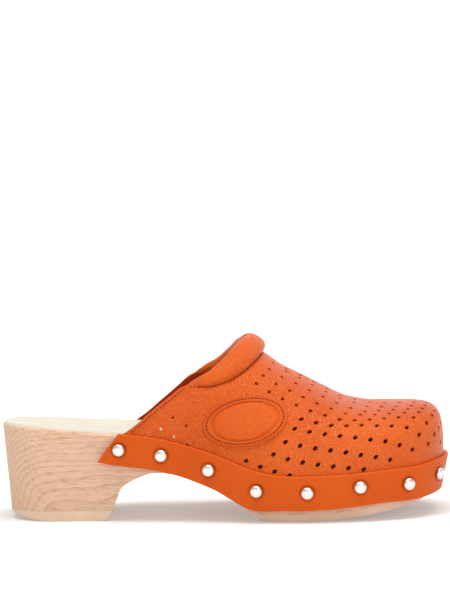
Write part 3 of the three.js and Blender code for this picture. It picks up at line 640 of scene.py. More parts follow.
def rubber_look():
    base = srgb(229, 201, 178)
    made, tree, shader = principled("cream_rubber", base, 0.7, Specular_IOR_Level=0.3)
    place = coordinates(tree)
    speckle = ramp(tree, noise(tree, place, 1500), [(0.35, 0.9), (0.6, 1.0)])
    blotch = ramp(tree, noise(tree, place, 60), [(0.3, srgb(220, 188, 163)), (0.65, base)])
    color = blend_colors(tree, "MULTIPLY", 0.6, blotch, speckle)
    dress(tree, shader, [(noise(tree, place, 900, 3.0), 0.08 * MM, 0.5)], color)
    return made


def lining_look():
    """A cream lining with painted shade: darker and redder where the vamp covers it."""
    base = srgb(217, 212, 199)
    made, tree, shader = principled("cream_lining", base, 0.75, Specular_IOR_Level=0.12)
    place = coordinates(tree)
    slow = ramp(tree, noise(tree, place, 35), [(0.3, srgb(210, 204, 190)), (0.65, base)])
    along = result(tree, "SeparateXYZ", {0: place}, "X")
    # Painted shade: towards the toe the cream turns to a darker, redder brown under the vamp
    painted_vamp_shade = ranged(tree, along, 0.0, 1.0, -0.035, 0.005)
    layers = [(cells(tree, place, 1500.0), 0.08 * MM, 0.35), (noise(tree, place, 120), 0.3 * MM, 0.2)]
    dress(tree, shader, layers, blend_colors(tree, "MIX", painted_vamp_shade, slow, srgb(168, 92, 62)))
    return made


def thread_look():
    made, tree, shader = principled("thread", srgb(132, 38, 12), 0.6)
    dress(tree, shader, [(noise(tree, coordinates(tree), 3000), 0.08 * MM, 0.6)])
    return made


def nickel_look():
    made, tree, shader = principled("nickel", (0.79, 0.76, 0.73), 0.3, Metallic=1.0)
    scratches = noise(tree, coordinates(tree, (1, 1, 4)), 700, 3.0)
    tree.links.new(ranged(tree, scratches, 0.26, 0.42), shader.inputs["Roughness"])
    dress(tree, shader, [(scratches, 0.03 * MM, 0.25)])
    return made


leathers = {name: leather_look(name, *look) for name, look in LEATHERS.items()}
beech = wood_look()
cream_rubber = rubber_look()
cream_lining = lining_look()
thread = thread_look()
nickel = nickel_look()


# Meshes


def piece(name, points, faces, material, slot=None, nodes=(), sharp=40):
    """A mesh object at its place in the frame, riding on the one body."""
    mesh = bpy.data.meshes.new(name)
    mesh.from_pydata([tuple(p) for p in np.asarray(points) + SHIFT], [], [tuple(f) for f in faces])
    mesh.materials.append(material)
    mesh.validate()
    obj = put(name, mesh)
    weld(obj)
    obj.data.shade_smooth()
    obj.data.set_sharp_from_angle(angle=math.radians(sharp))
    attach(obj, "root")
    if nodes:
        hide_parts(*nodes)
    return obj


def put(name, data):
    """A new object in the scene."""
    obj = bpy.data.objects.new(name, data)
    bpy.context.scene.collection.objects.link(obj)
    return obj


def weld(obj):
    """Joins points that lie together and drops faces without area."""
    work = bmesh.new()
    work.from_mesh(obj.data)
    bmesh.ops.remove_doubles(work, verts=work.verts, dist=2e-6)
    bmesh.ops.dissolve_degenerate(work, dist=1e-7, edges=work.edges)
    bmesh.ops.recalc_face_normals(work, faces=work.faces)
    work.to_mesh(obj.data)
    work.free()


def grid_faces(rows, columns, closed=False):
    """Faces between rows of points; with closed, each row is a loop."""
    faces = []
    for i in range(rows - 1):
        for j in range(columns if closed else columns - 1):
            k = (j + 1) % columns
            faces.append((i * columns + j, (i + 1) * columns + j, (i + 1) * columns + k, i * columns + k))
    return faces


def loft(rings, capped=True):
    """Points and faces through rings of equal length."""
    rings = np.asarray(rings)
    faces = grid_faces(len(rings), rings.shape[1], closed=True)
    if capped:
        last = (len(rings) - 1) * rings.shape[1]
        faces.append(tuple(range(rings.shape[1])))
        faces.append(tuple(last + j for j in reversed(range(rings.shape[1]))))
    return rings.reshape(-1, 3), faces


ACROSS = np.linspace(-1, 1, 25)


def across_from(outer, inner, shares, dish=0.0):
    line = mix(outer, inner, ((shares + 1) / 2)[:, None])
    line[:, 2] -= dish * (1 - shares**2)
    return line


def footbed(x):
    """The wood's edge on both sides, the heights of its rim there, and the footbed's dish."""
    outer, inner = on_edge(OUTER, "x", x), on_edge(INNER, "x", x)
    at = x / SOLE_LENGTH
    high = rim_height(x)
    return outer, inner, high, high + footbed_tilt(at) * MM, FOOTBED_DISH * dish_share(at)


def wood_side(place, top, bottom, top_round, low_round):
    """Points from the rim down one side to the underside, with rounded edges."""
    turns = np.linspace(0, np.pi / 2, 5)
    out = [*(top_round * (np.sin(turns) - 1)), *np.zeros(7), *(low_round * (np.cos(turns) - 1))]
    wall = np.linspace(top - top_round, bottom + low_round, 9)[1:-1]
    z = [*(top - top_round * (1 - np.cos(turns))), *wall, *(bottom + low_round * (1 - np.sin(turns)))]
    return beside(place, np.array(out), np.array(z))


def wood_ring(x):
    """A ring round the wood across the shoe."""
    outer, inner, high, inner_high, dish = footbed(x)
    width = math.hypot(outer["x"] - inner["x"], outer["y"] - inner["y"])
    rounds = [round_off * min(1.0, width / (4 * round_off)) for round_off in (TOP_ROUND, LOW_ROUND)]
    outer_side = wood_side(outer, high, underside(x), *rounds)
    inner_side = wood_side(inner, inner_high, underside(x), *rounds)
    over = across_from(outer_side[0], inner_side[0], ACROSS, dish)
    under = across_from(outer_side[-1], inner_side[-1], ACROSS[::3])[::-1]
    return np.concatenate([over, inner_side[1:], under[1:], outer_side[-2:0:-1]])


def slanted(rings):
    """The heel's front lies further back at the inner side; the footbed's rim stays where it is."""
    points = np.array(rings)
    x, y, z = points[..., 0], points[..., 1], points[..., 2]
    inward = np.clip(0.5 + y / HEEL_WIDTH, 0, 1)
    behind = smooth(HEEL_LENGTH / 2, HEEL_LENGTH, x)
    ahead = 1 - smooth(HEEL_LENGTH + 0.6 * BREAST_RUN, HEEL_LENGTH + 1.5 * BREAST_RUN, x)
    low = smooth(*SLANT_DEPTHS, rim_height(x) - z)
    points[..., 0] -= BREAST_SLANT * inward * behind * ahead * low
    return points


def wooden_sole():
    arch_x = HEEL_LENGTH + BREAST_RUN
    breast = np.linspace(HEEL_LENGTH, arch_x, 40)
    heel = HEEL_LENGTH * (1 - np.cos(np.linspace(0, np.pi / 2, 36)))[:-1]
    front = mix(arch_x, SOLE_LENGTH, np.sin(np.linspace(0, np.pi / 2, 80)))[1:]
    rings = [wood_ring(x) for x in (*heel, *breast, *front)]
    piece("wooden_sole", *loft(slanted(rings)), beech, "wood", ("sole",), sharp=50)


def insole():
    rings = []
    for x in SOLE_LENGTH * eased(110):
        outer, inner, high, inner_high, dish = footbed(x)
        under, over = (
            across_from(beside(outer, -inset, high), beside(inner, -inset, inner_high), ACROSS, dish)
            for inset in (INSOLE_INSET, INSOLE_INSET + INSOLE_ROUND)
        )
        over[:, 2] += GAP + INSOLE_THICKNESS
        rings.append(np.concatenate([over, under[::-1]]))
    piece("insole_lining", *loft(rings), cream_lining, "insole", ("insole",))


def tread_lift(x):
    """Fine ribs across the underside."""
    return TREAD_DEPTH * smooth(0.35, 0.6, abs((x / TREAD_PITCH) % 1 - 0.5) * 2)


def rubber_ring(top_x, top, bottom_x, bottom, inset=0.0):
    """A ring round a rubber piece across the shoe; the tread lifts its underside."""
    low = bottom + tread_lift(bottom_x)
    middle = ((top_x + bottom_x) / 2, (top + bottom) / 2)
    corners = [(top_x, top), middle, (bottom_x, low + RUBBER_ROUND), (bottom_x, low)]
    outer, inner = ([beside(on_edge(side, "x", x), -inset, z) for x, z in corners] for side in SIDES)
    over = across_from(outer[0], inner[0], ACROSS[::2])
    under = across_from(outer[3], inner[3], ACROSS[::2])
    return np.array([*over, *inner[1:3], *under[::-1], *outer[2:0:-1]])


def outsole():
    def thin(x):
        return rim_height(x) - ARCH_THICKNESS * wood_thick(x / SOLE_LENGTH) < OUTSOLE_THICKNESS + GAP

    start = crossing(HEEL_LENGTH + BREAST_RUN, SPRING_START, thin)
    end = SOLE_LENGTH - OUTSOLE_INSET
    tips = end - (end - start) * np.linspace(0.04, 0, 14) ** 1.5
    body = np.linspace(start, tips[0], int((end - start) / (TREAD_PITCH / 5)))
    rings = []
    for top_x in (*body[:-1], *tips):
        top = OUTSOLE_THICKNESS + GAP + spring(top_x)
        bottom_x = top_x + OUTSOLE_BEVEL * max(0, 1 - (top_x - start) / OUTSOLE_BEVEL_LENGTH)
        rings.append(rubber_ring(top_x, top, bottom_x, spring(bottom_x), OUTSOLE_INSET))
    piece("rubber_outsole", *loft(rings), cream_rubber, "rubber", ("outsole",), sharp=35)


def heel_piece():
    top = HEEL_PIECE_THICKNESS + GAP
    front_x = crossing(HEEL_LENGTH, HEEL_LENGTH + BREAST_RUN, lambda x: underside(x) > top)
    shares = np.concatenate([1 - np.cos(np.linspace(0, np.pi / 2, 60))[:40], np.linspace(0.5, 1, 61)])
    rings = []
    for share in sorted(shares):
        bottom_x = share * HEEL_LENGTH
        bottom = HEEL_BEVEL * max(0, 1 - bottom_x / HEEL_BEVEL_LENGTH) ** HEEL_BEVEL_CURVE
        rings.append(rubber_ring(share * front_x, top, bottom_x, bottom))
    piece("rubber_heel_piece", *loft(slanted(rings)), cream_rubber, "rubber", ("heel_piece",), sharp=35)


# The upper: its face is laid out flat, rib against side times one less turn, and cut into triangles there

SKIRT = 0.2
FLAT_RIB = 190 * MM
FLAT_TURN = 80 * MM
TURN_STEP = 0.024


def nearest(places):
    """A search tree: its find gives a place, its number and how far it is."""
    tree = KDTree(len(places))
    for i, place in enumerate(places):
        tree.insert(place, i)
    tree.balance()
    return tree


def by_side(function, side, *values):
    """Runs a function of one side on points of both."""
    return np.where((side == OUTER)[:, None], function(OUTER, *values), function(INNER, *values))


def row_holes(side, row):
    """Places of the holes along one row, a pitch apart on the leather."""
    dense = np.linspace(0, len(row) - 1, 400)
    rib, turn = (np.interp(dense, np.arange(len(row)), column) for column in zip(*row))
    run = run_along(upper_point(side, rib, turn))
    wanted = np.arange(0, run[-1] + 1e-9, HOLE_PITCH)
    return [(side, np.interp(place, run, rib), np.interp(place, run, turn)) for place in wanted]


def all_holes():
    """Every perforation, large and small; none is punched too close to one before it."""
    large, centres = [], []
    for side in SIDES:
        for hole in [hole for row in HOLE_ROWS for hole in row_holes(side, row)]:
            centre = upper_point(*hole)
            if all(np.linalg.norm(centre - other) > HOLE_SPACING for other in centres):
                large.append(hole)
                centres.append(centre)
    return large, [(side, rib, turn) for side in SIDES for rib, turn in WING_HOLES]


def flat_ring(hole, radius, stretch, count):
    """A ring round a hole laid out flat, which is round or stretched on the leather."""
    side, rib, turn = hole
    along, rise = upper_slopes(side, rib, turn)
    first = unit(along)
    second = unit(rise - first * np.dot(rise, first))
    lengths = np.array([[along @ first, rise @ first], [along @ second, rise @ second]])
    angles = circle(count)
    slant = math.radians(HOLE_SLANT)
    offsets = radius * np.stack([(1 + stretch) * np.cos(angles), np.sin(angles)], -1)
    spin = np.array([[math.cos(slant), math.sin(slant)], [-math.sin(slant), math.cos(slant)]])
    steps = np.linalg.solve(lengths, (offsets @ spin).T)
    return lay_flat(side, rib + steps[0], turn + steps[1])


def lay_flat(side, rib, turn):
    across = side * (1 - np.asarray(turn)) * FLAT_TURN
    return np.stack(np.broadcast_arrays(np.asarray(rib) * FLAT_RIB, across), -1)


def topline(side):
    """The upper's edge from the wing to the throat, as rib and turn."""
    ribs = np.linspace(0, throat_rib, 90)
    turns = np.array([rib_end(side, rib) for rib in ribs])
    turns[-1] = 1.0
    return ribs, turns


def flat_boundary():
    """The leather's edge laid out flat, anticlockwise; each half runs from the throat to the toe's ridge."""
    ribs = np.linspace(0, 1, 141)
    turns = np.linspace(-SKIRT, 1, 61)
    halves = []
    for side in SIDES:
        edge, edge_turns = topline(side)
        top = lay_flat(side, edge[::-1], edge_turns[::-1])
        rear = lay_flat(side, 0, np.linspace(edge_turns[0], -SKIRT, 6)[1:-1])
        halves.append(np.concatenate([top, rear, lay_flat(side, ribs, -SKIRT), lay_flat(side, 1, turns[1:])]))
    return np.concatenate([halves[0], halves[1][-2:0:-1]])


def free_points(centres):
    """Points laid out flat between the holes, and along the ridge."""
    points = []
    ends = {side: topline(side) for side in SIDES}
    for i, rib in enumerate(np.linspace(0, 1, 116)[1:-1]):
        for side in SIDES:
            turns = np.arange(-SKIRT + 0.05, 0.995, TURN_STEP) + (TURN_STEP / 2 if i % 2 else 0)
            if rib < throat_rib:
                turns = turns[turns < np.interp(rib, *ends[side]) - TURN_STEP / 2]
            places = upper_point(side, np.full(len(turns), rib), turns)
            away = np.array([centres.find(place)[2] for place in places])
            points.append(lay_flat(side, rib, turns[(turns < 0) | (away > HOLE_CLEARANCE)]))
    points.append(lay_flat(OUTER, np.linspace(throat_rib, 1, 90)[1:-1], 1))
    return points


def closed_loop(start, count):
    return [(start + i, start + (i + 1) % count) for i in range(count)]


def flat_sheet():
    """Triangles of the perforated leather laid out flat."""
    boundary = flat_boundary()
    large, small = all_holes()
    points = [boundary]
    loops = closed_loop(0, len(boundary))
    owner = [0] * len(boundary)
    centres = [upper_point(*hole) for hole in large + small]
    for i, hole in enumerate(large + small):
        low = smooth(*STRETCH_X, centres[i][0]) * (1 - smooth(*STRETCH_TURN, hole[2]))
        radius, stretch = (HOLE_RADIUS, HOLE_STRETCH * low) if i < len(large) else (SMALL_HOLE_RADIUS, 0.0)
        ring = flat_ring(hole, radius, stretch, 12)
        around = flat_ring(hole, radius + HOLE_MARGIN, 0.6 * stretch, 10)
        points += [ring, around]
        loops += closed_loop(len(owner), len(ring))
        owner += [i + 1] * len(ring) + [-1] * len(around)
    flat = np.concatenate(points + free_points(nearest(centres)))
    owner += [-1] * (len(flat) - len(owner))
    made = delaunay_2d_cdt([Vector(p) for p in flat], loops, [], 0, 1e-9)
    places = np.array([tuple(p) for p in made[0]])
    ring_of = np.array([max((owner[i] for i in sources), default=-1) for sources in made[3]])
    triangles = np.array([tuple(face) for face in made[2]])
    rings = ring_of[triangles]
    in_hole = (rings[:, 0] > 0) & np.all(rings == rings[:, :1], axis=1)
    return places, triangles[within(places[triangles].mean(1), boundary) & ~in_hole]


def within(places, loop):
    """Which places lie inside a closed loop, by counting the edges to their right."""
    result = np.zeros(len(places), bool)
    for a, b in zip(loop, np.roll(loop, -1, axis=0)):
        if a[1] != b[1]:
            level = (a[1] > places[:, 1]) != (b[1] > places[:, 1])
            cut = a[0] + (places[:, 1] - a[1]) * (b[0] - a[0]) / (b[1] - a[1])
            result ^= level & (places[:, 0] < cut)
    return result


def leather_wall(outer, inner, sheet):
    """Faces of a wall between two sheets that share their triangles."""
    shift = len(outer)
    sides = [(a, b) for face in sheet for a, b in zip(face, (*face[1:], face[0]))]
    turned = {(b, a) for a, b in sides}
    faces = [tuple(face) for face in sheet]
    faces += [tuple(i + shift for i in reversed(face)) for face in sheet]
    faces += [(b, a, a + shift, b + shift) for a, b in sides if (a, b) not in turned]
    return np.concatenate([outer, inner]), faces


def upper_face(side, rib, turn):
    """The outer face with its skirt under the strap, where turn is below 0."""
    outer = by_side(upper_point, side, rib, turn)
    for one in SIDES:
        low = (turn < 0) & (side == one)
        high_place, low_place = strap_places(one, rib[low])
        top = beside(high_place, GAP + LEATHER, rim_height(high_place["x"]))
        bottom = beside(low_place, GAP + LEATHER, strap_bottom(low_place["x"]) + SKIRT_STOP)
        outer[low] = mix(top, bottom, (-turn[low] / SKIRT)[:, None])
    return outer


def joined_at_toe(sheet, at_toe, side, turn):
    """The sheet with both sides sharing their points on the toe's middle line."""
    twin = {round(float(turn[i]), 6): i for i in np.nonzero(at_toe & (side == OUTER))[0]}
    target = np.arange(len(side))
    for i in np.nonzero(at_toe & (side == INNER))[0]:
        target[i] = twin.get(round(float(turn[i]), 6), i)
    return target[sheet]


def upper():
    flat, sheet = flat_sheet()
    side = np.where(flat[:, 1] > 0, INNER, OUTER)
    rib = np.clip(flat[:, 0] / FLAT_RIB, 0, 1)
    turn = 1 - np.abs(flat[:, 1]) / FLAT_TURN
    outer = upper_face(side, rib, turn)
    normal, across = (by_side(upper_normal, one, rib, np.maximum(turn, 0)) for one in (side, -side))
    at_toe = rib > 1 - 1e-6
    shared = at_toe | (turn > 1 - 1e-6)
    normal[shared] = unit(normal + across)[shared]
    sheet = joined_at_toe(sheet, at_toe, side, turn)
    edge = nearest(np.concatenate([upper_point(one, *topline(one)) for one in SIDES]))
    far = np.array([edge.find(place)[2] for place in outer])
    hem = HEM_RISE * (1 - smooth(HEM_WIDTH - HEM_SLOPE, HEM_WIDTH, far))
    groove = HEM_GROOVE * np.exp(-(((far - HEM_STITCH) / (0.5 * MM)) ** 2))
    rounded = HEM_ROUND * np.exp(-far / (0.35 * MM))
    relief = vamp_relief(outer)
    outer = outer + normal * (hem - groove - rounded + relief)[:, None]
    inner = outer - normal * (LEATHER + hem + relief)[:, None]
    points, faces = leather_wall(outer, inner, sheet)
    leather = leathers["pebbled_leather"]
    made = piece("perforated_upper", points, faces, leather, "upper_leather", ("upper",), sharp=55)
    # The inner faces take the darker copy of the leather, as painted shade
    made.data.materials.append(leathers["shaded_inner_leather"])
    tree = nearest(points)
    numbers = [tree.find(vertex.co - Vector(SHIFT))[1] for vertex in made.data.vertices]
    for face in made.data.polygons:
        face.material_index = int(min(numbers[i] for i in face.vertices) >= len(outer))


def stud_places():
    """Where the nails' heads sit on the strap, and the directions they point in."""
    places = []
    out = 3 * GAP + LEATHER + STRAP_THICKNESS
    for side in SIDES:
        for at, up in STUDS:
            foot = on_edge(side, "run", mix(wing_run[side] - STRAP_END, toe_run[side], at))
            z = mix(strap_bottom(foot["x"]), strap_top(foot["x"]), up)
            point = beside(foot, out, z)
            rise = beside(foot, out, z + 1 * MM) - point
            forward = np.array([-foot["ny"], foot["nx"], 0.0])
            places.append((point, unit(np.cross(forward, rise))))
    return places


def strap_ring(side, rib):
    high, low = strap_places(side, rib)
    top, bottom = strap_top(high["x"]), strap_bottom(low["x"])
    inside = GAP + LEATHER + GAP
    outside = inside + STRAP_THICKNESS
    corner = np.linspace(0, np.pi / 2, 5)
    short, long = STRAP_ROUND * (1 - np.sin(corner)), STRAP_ROUND * (1 - np.cos(corner))
    over = beside(high, outside - short, top - long)
    under = beside(low, outside - long, bottom + short)
    face = mix(over[-1], under[0], np.linspace(0, 1, 30)[1:-1, None])
    ends = [beside(low, inside, bottom), beside(high, inside, rim_height(high["x"]))]
    return [beside(high, inside, top), *over, *face, *under, *ends]


def strap():
    """The nailed strap: a band with rounded edges that dips round each nail."""
    start = {side: -STRAP_END / (toe_run[side] - wing_run[side]) for side in SIDES}
    halves = {side: [strap_ring(side, rib) for rib in np.linspace(start[side], 1, 420)] for side in start}
    points, faces = loft(halves[OUTER] + halves[INNER][-2::-1])
    for place, outward in stud_places():
        away = points - place
        along = away @ outward
        radial = np.linalg.norm(away - along[:, None] * outward, axis=1)
        dip = DIMPLE_DEPTH * np.exp(-((radial / DIMPLE_RADIUS) ** 10)) * (np.abs(along) < 1.6 * MM)
        points = points - dip[:, None] * outward
    leather = leathers["smooth_leather"]
    piece("nailed_strap", points, faces, leather, "strap_leather", ("strap",), sharp=50)


def collar_line(side):
    """Half of the collar's middle line: shares, places and directions from its tip over the instep."""
    tip_x = mix(WING_X, THROAT_X, COLLAR_TIP)
    tip_rib = crossing(0, 1, lambda rib: rib_foot_x(rib) > tip_x)
    at = np.linspace(0, 1, 71)
    ribs = mix(tip_rib, throat_rib, np.sin(at * np.pi / 2))
    turns = np.array([rib_end(side, rib) for rib in ribs])
    turns[-1] = 1.0
    return at, upper_point(side, ribs, turns), upper_normal(side, ribs, turns)


def collar():
    """The padded roll: a tube that swells between its seam and its top."""
    at, line, up = (np.concatenate([a, b[-2::-1]]) for a, b in zip(collar_line(OUTER), collar_line(INNER)))
    for _ in range(6):
        padded = np.concatenate([up[:1], up[:1], up, up[-1:], up[-1:]])
        up = sum(weight / 16 * padded[k : k + len(up)] for k, weight in enumerate((1, 4, 6, 4, 1)))
    along = unit(np.gradient(line, axis=0))
    up = unit(up - along * np.sum(up * along, -1, keepdims=True))
    over = np.cross(up, along)
    line = line - up * (COLLAR_SINK * (1 - smooth(0.0, 0.22, at)))[:, None]
    angles = circle(40)
    square = (np.abs(np.cos(angles)) ** 2.3 + np.abs(np.sin(angles)) ** 2.3) ** (-1 / 2.3)
    share = at[:, None]
    reach = square * (1 + 0.012 * np.sin(5 * angles + 9 * share) + 0.01 * np.sin(31 * share + 3 * angles))
    wide = COLLAR_WIDTH / 2 * collar_wide(share) * reach * np.cos(angles)
    thick = COLLAR_THICKNESS / 2 * collar_thick(share) * reach * np.sin(angles)
    rings = line[:, None] + over[:, None] * wide[..., None] + up[:, None] * thick[..., None]
    leather = leathers["soft_leather"]
    made = piece("padded_collar", *loft(rings), leather, "upper_leather", ("collar",), sharp=60)


def collar_seam(side, out):
    """Share, rib and turn of the vamp's points along the roll's lower edge, a little out from it."""
    at, line, up = collar_line(side)
    toeward = unit(np.cross(up, np.gradient(line, axis=0)) * side)
    near = line + toeward * (COLLAR_WIDTH * collar_wide(at) / 2 + out)[:, None]
    rib, turn = find_on_side(side, near[:, 0], near[:, 2])
    kept = (turn < 0.96) & (at > 0.02)
    return at[kept], rib[kept], turn[kept]


def collar_seams():
    """Stitches on the vamp along the roll's lower edge."""
    for side, name in ((OUTER, "outer_collar_seam"), (INNER, "inner_collar_seam")):
        _, rib, turn = collar_seam(side, SEAM_GAP)
        normal = upper_normal(side, rib, turn)
        stitches(name, upper_point(side, rib, turn) - normal * 0.05 * MM, normal)


def nearness(points, line, width):
    """1 on a line of places, falling off to 0 within about twice the width."""
    tree = nearest(line)
    away = np.array([tree.find(point)[2] for point in points])
    return np.exp(-((away / width) ** 2))


def vamp_relief(points):
    """Height of the given forms: the seam's furrow and the fold puffed up below the roll's ends."""
    height = np.zeros(len(points))
    for side in SIDES:
        _, rib, turn = collar_seam(side, SEAM_GAP)
        height -= SEAM_FURROW * nearness(points, upper_point(side, rib, turn), 1.0 * MM)
        at, rib, turn = collar_seam(side, FOLD_GAP)
        fold = at < FOLD_END
        height += SEAM_FOLD * nearness(points, upper_point(side, rib[fold], turn[fold]), 2.2 * MM)
    return height


def find_on_side(side, x, z):
    """Rib and turn of the face's points with these x and z."""
    ribs, turns = np.meshgrid(np.linspace(0, 0.75, 90), np.linspace(0.01, 0.9, 90), indexing="ij")
    ribs, turns = ribs.ravel(), turns.ravel()
    tree = nearest(upper_point(side, ribs, turns) * (1, 0, 1))
    near = [tree.find((a, 0, b))[1] for a, b in zip(x, z)]
    rib, turn = ribs[near], turns[near]
    for _ in range(6):
        point = upper_point(side, rib, turn)
        along, rise = upper_slopes(side, rib, turn)
        wrong_x, wrong_z = x - point[:, 0], z - point[:, 2]
        area = along[:, 0] * rise[:, 2] - along[:, 2] * rise[:, 0]
        rib = rib + (wrong_x * rise[:, 2] - wrong_z * rise[:, 0]) / area
        turn = turn + (along[:, 0] * wrong_z - along[:, 2] * wrong_x) / area
    return rib, turn


def badge_places(share, angle):
    """Places of the badge's oval on the upper, at shares of its size."""
    tilt = math.radians(BADGE_TILT)
    a = share * BADGE_LENGTH / 2 * np.cos(angle)
    b = share * BADGE_HEIGHT / 2 * np.sin(angle)
    x = BADGE_X + a * math.cos(tilt) - b * math.sin(tilt)
    z = BADGE_Z + a * math.sin(tilt) + b * math.cos(tilt)
    rib, turn = find_on_side(OUTER, x, z)
    return upper_point(OUTER, rib, turn), upper_normal(OUTER, rib, turn)


def badge_height(share):
    """Height of the badge over its edge: a rim, a stitched groove and a raised, bare middle."""
    inward = (1 - share) * BADGE_HEIGHT / 2
    edge = 0.85 * smooth(0, 0.5 * MM, inward)
    stitch = 0.35 * np.exp(-(((inward - BADGE_STITCH) / (0.4 * MM)) ** 2))
    groove = 0.65 * np.exp(-(((inward - BADGE_GROOVE) / (0.5 * MM)) ** 2))
    middle = 0.2 * smooth(3.2 * MM, 6 * MM, inward)
    return BADGE_THICKNESS * (edge - stitch - groove + middle)


def badge():
    """The side patch: a thin oval along the upper, from the middle of its back to that of its face."""
    count = 120
    rim = [0, 0.12, 0.3, 0.6, 0.9, 1.15, 1.35, 1.5, 1.65, 1.85, 2.1, 2.35, 2.6, 2.8, 3.0, 3.2, 3.5, 3.9]
    shares = np.array([*(1 - np.array(rim) * MM / (BADGE_HEIGHT / 2)), *np.linspace(0.65, 0.02, 16)])
    share = np.repeat(shares, count)
    point, normal = badge_places(share, np.tile(circle(count), len(shares)))
    back = (point + normal * GAP / 2).reshape(-1, count, 3)
    face = (point + normal * (GAP + badge_height(share))[:, None]).reshape(-1, count, 3)
    middles = [np.tile(rings[-1].mean(0), (count, 1)) for rings in (back, face)]
    points, faces = loft([middles[0], *back[::-1], *face, middles[1]], capped=False)
    leather = leathers["badge_leather"]
    piece("oval_badge", points, faces, leather, "upper_leather", ("badge_patch",), sharp=60)


def stitches(name, places, outward, pitch=STITCH_PITCH):
    """Short stitches along a line of places, each a rounded bar that dips in at both ends."""
    run = run_along(places)
    number = int(round(run[-1] / pitch))
    bar = np.linspace(-1, 1, 7)
    radius = STITCH_RADIUS * np.sqrt(np.maximum(0.02, 1 - bar**4))
    lift = STITCH_LIFT * (1 - bar**2)
    angles = circle(6)
    points, faces = [], []
    for middle in run[-1] * (np.arange(number) + 0.5) / number:
        spots = middle + bar * STITCH_LENGTH / 2
        line = np.stack([np.interp(spots, run, column) for column in places.T], -1)
        up = unit(np.array([np.interp(middle, run, column) for column in outward.T]))
        over = np.cross(up, unit(line[-1] - line[0]))
        spokes = over * np.cos(angles)[:, None] + up * np.sin(angles)[:, None]
        stitch, sides = loft((line + up * lift[:, None])[:, None] + spokes * radius[:, None, None])
        faces += [tuple(len(points) + i for i in side) for side in sides]
        points += list(stitch)
    piece(name, points, faces, thread, sharp=80)


def hem_stitches(side, name):
    """Stitches along the topline of a wing, up to the collar's tip."""
    x = np.linspace(WING_X + 3.5 * MM, mix(WING_X, THROAT_X, COLLAR_TIP) - 1 * MM, 80)
    z = edge_height(side, x)
    slope_x, slope_z = np.gradient(x), np.gradient(z)
    size = np.hypot(slope_x, slope_z)
    rib, turn = find_on_side(side, x + slope_z / size * HEM_STITCH, z - slope_x / size * HEM_STITCH)
    normal = upper_normal(side, rib, turn)
    stitches(name, upper_point(side, rib, turn) + normal * (HEM_RISE - 0.2 * MM), normal)


def badge_stitches():
    share = 1 - BADGE_STITCH / (BADGE_HEIGHT / 2)
    point, normal = badge_places(share, np.linspace(0, 2 * np.pi, 200))
    stitches("badge_stitches", point + normal * (GAP + badge_height(share)), normal, pitch=1.9 * MM)


def studs():
    """Domed nickel heads with their shanks."""
    dome = [(r * STUD_RADIUS, height * STUD_DOME) for r, height in STUD_PROFILE]
    shank = [(SHANK_RADIUS, 0.0), (SHANK_RADIUS, -SHANK_LENGTH)]
    angles = circle(32)
    for number, (place, outward) in enumerate(stud_places(), 1):
        level = unit(np.cross(outward, (0, 0, 1)))
        spokes = level * np.cos(angles)[:, None] + np.cross(level, outward) * np.sin(angles)[:, None]
        rings = [place + outward * height + spokes * radius for radius, height in dome + shank]
        piece(f"nail_{number:02d}", *loft(rings), nickel, "stud", (f"stud_{number:02d}",), sharp=50)


wooden_sole()
insole()
outsole()
heel_piece()
upper()
collar()
strap()
badge()
hem_stitches(OUTER, "outer_hem_stitches")
hem_stitches(INNER, "inner_hem_stitches")
badge_stitches()
collar_seams()
studs()


# Floor, light and camera


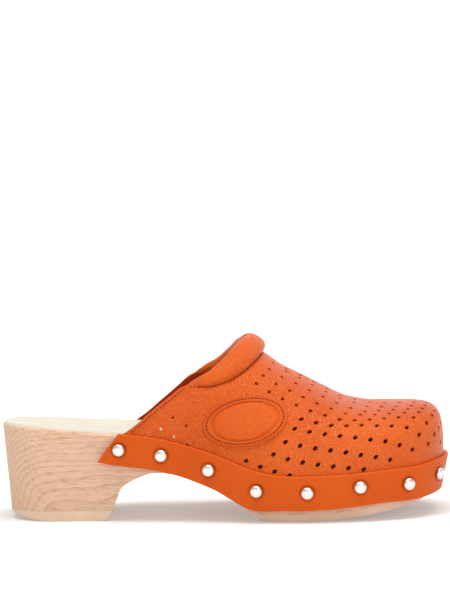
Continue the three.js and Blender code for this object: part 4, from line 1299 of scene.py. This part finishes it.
def floor():
    """A pale floor that sweeps up behind the shoe and glows away from it."""
    half, back, bend, top = 4.0, 2.2, 0.8, 1.4
    turns = np.linspace(0, np.pi / 2, 24)
    curve = [(back - bend + bend * math.sin(a), bend - bend * math.cos(a)) for a in turns]
    profile = [(-half, 0.0), (0.0, 0.0), *curve, (back, top)]
    mesh = bpy.data.meshes.new("floor")
    mesh.from_pydata([(x, y, z) for y, z in profile for x in (-half, half)], [], grid_faces(len(profile), 2))
    mesh.shade_smooth()
    made, tree, shader = principled("floor_white", (0.68, 0.68, 0.68), 0.9, Specular_IOR_Level=0.0)
    shader.inputs["Emission Color"].default_value = (1, 1, 1, 1)
    place = coordinates(tree, (0.4, 1, 1))
    away = result(tree, "VectorMath", {0: place}, "Value", operation="LENGTH")
    tree.links.new(ranged(tree, away, 0.22, 0.62, 0.05, 0.16), shader.inputs["Emission Strength"])
    mesh.materials.append(made)
    put("floor", mesh)


def area_light(name, place, target, size, power):
    lamp = bpy.data.lights.new(name, "AREA")
    lamp.shape = "RECTANGLE"
    lamp.size, lamp.size_y = size
    lamp.energy = power
    lamp.color = (1, 0.97, 0.93)
    obj = put(name, lamp)
    obj.location = place
    obj.rotation_euler = (Vector(target) - Vector(place)).to_track_quat("-Z", "Y").to_euler()


def lights():
    world = bpy.data.worlds.new("studio")
    world.use_nodes = True
    background = world.node_tree.nodes["Background"]
    background.inputs["Color"].default_value = (1, 1, 1, 1)
    background.inputs["Strength"].default_value = 0.52
    bpy.context.scene.world = world
    area_light("top", (0.08, -0.2, 1.2), (0, 0, 0.04), (1.2, 0.5), 13.2)
    area_light("front", (0.7, -1.65, 0.9), (0, 0, 0.05), (1.4, 0.9), 6.9)


CAMERA_AZIMUTH = 4.0
CAMERA_ELEVATION = 4.1
CAMERA_ROLL = -1.4615
CAMERA_DISTANCE = 1.6
CAMERA_TARGET = Vector((127.2 * MM, 0.0, 119.8 * MM))
CAMERA_LENS = 171.36


def camera():
    azimuth, elevation, roll = np.radians((CAMERA_AZIMUTH, CAMERA_ELEVATION, CAMERA_ROLL))
    back = Vector((math.sin(azimuth), -math.cos(azimuth), math.tan(elevation))).normalized()
    level = Vector((math.cos(azimuth), math.sin(azimuth), 0))
    rise = back.cross(level)
    right = level * math.cos(roll) + rise * math.sin(roll)
    up = rise * math.cos(roll) - level * math.sin(roll)
    lens = bpy.data.cameras.new("camera")
    lens.lens = CAMERA_LENS
    lens.sensor_width = 36
    lens.sensor_fit = "AUTO"
    obj = put("camera", lens)
    turned = Matrix((right, up, back)).transposed().to_4x4()
    obj.matrix_world = Matrix.Translation(CAMERA_TARGET + Vector(SHIFT) + back * CAMERA_DISTANCE) @ turned
    bpy.context.scene.camera = obj


floor()
lights()
camera()
bpy.context.scene.view_settings.view_transform = "Standard"
bpy.context.scene.view_settings.look = "None"

bpy.context.view_layer.update()
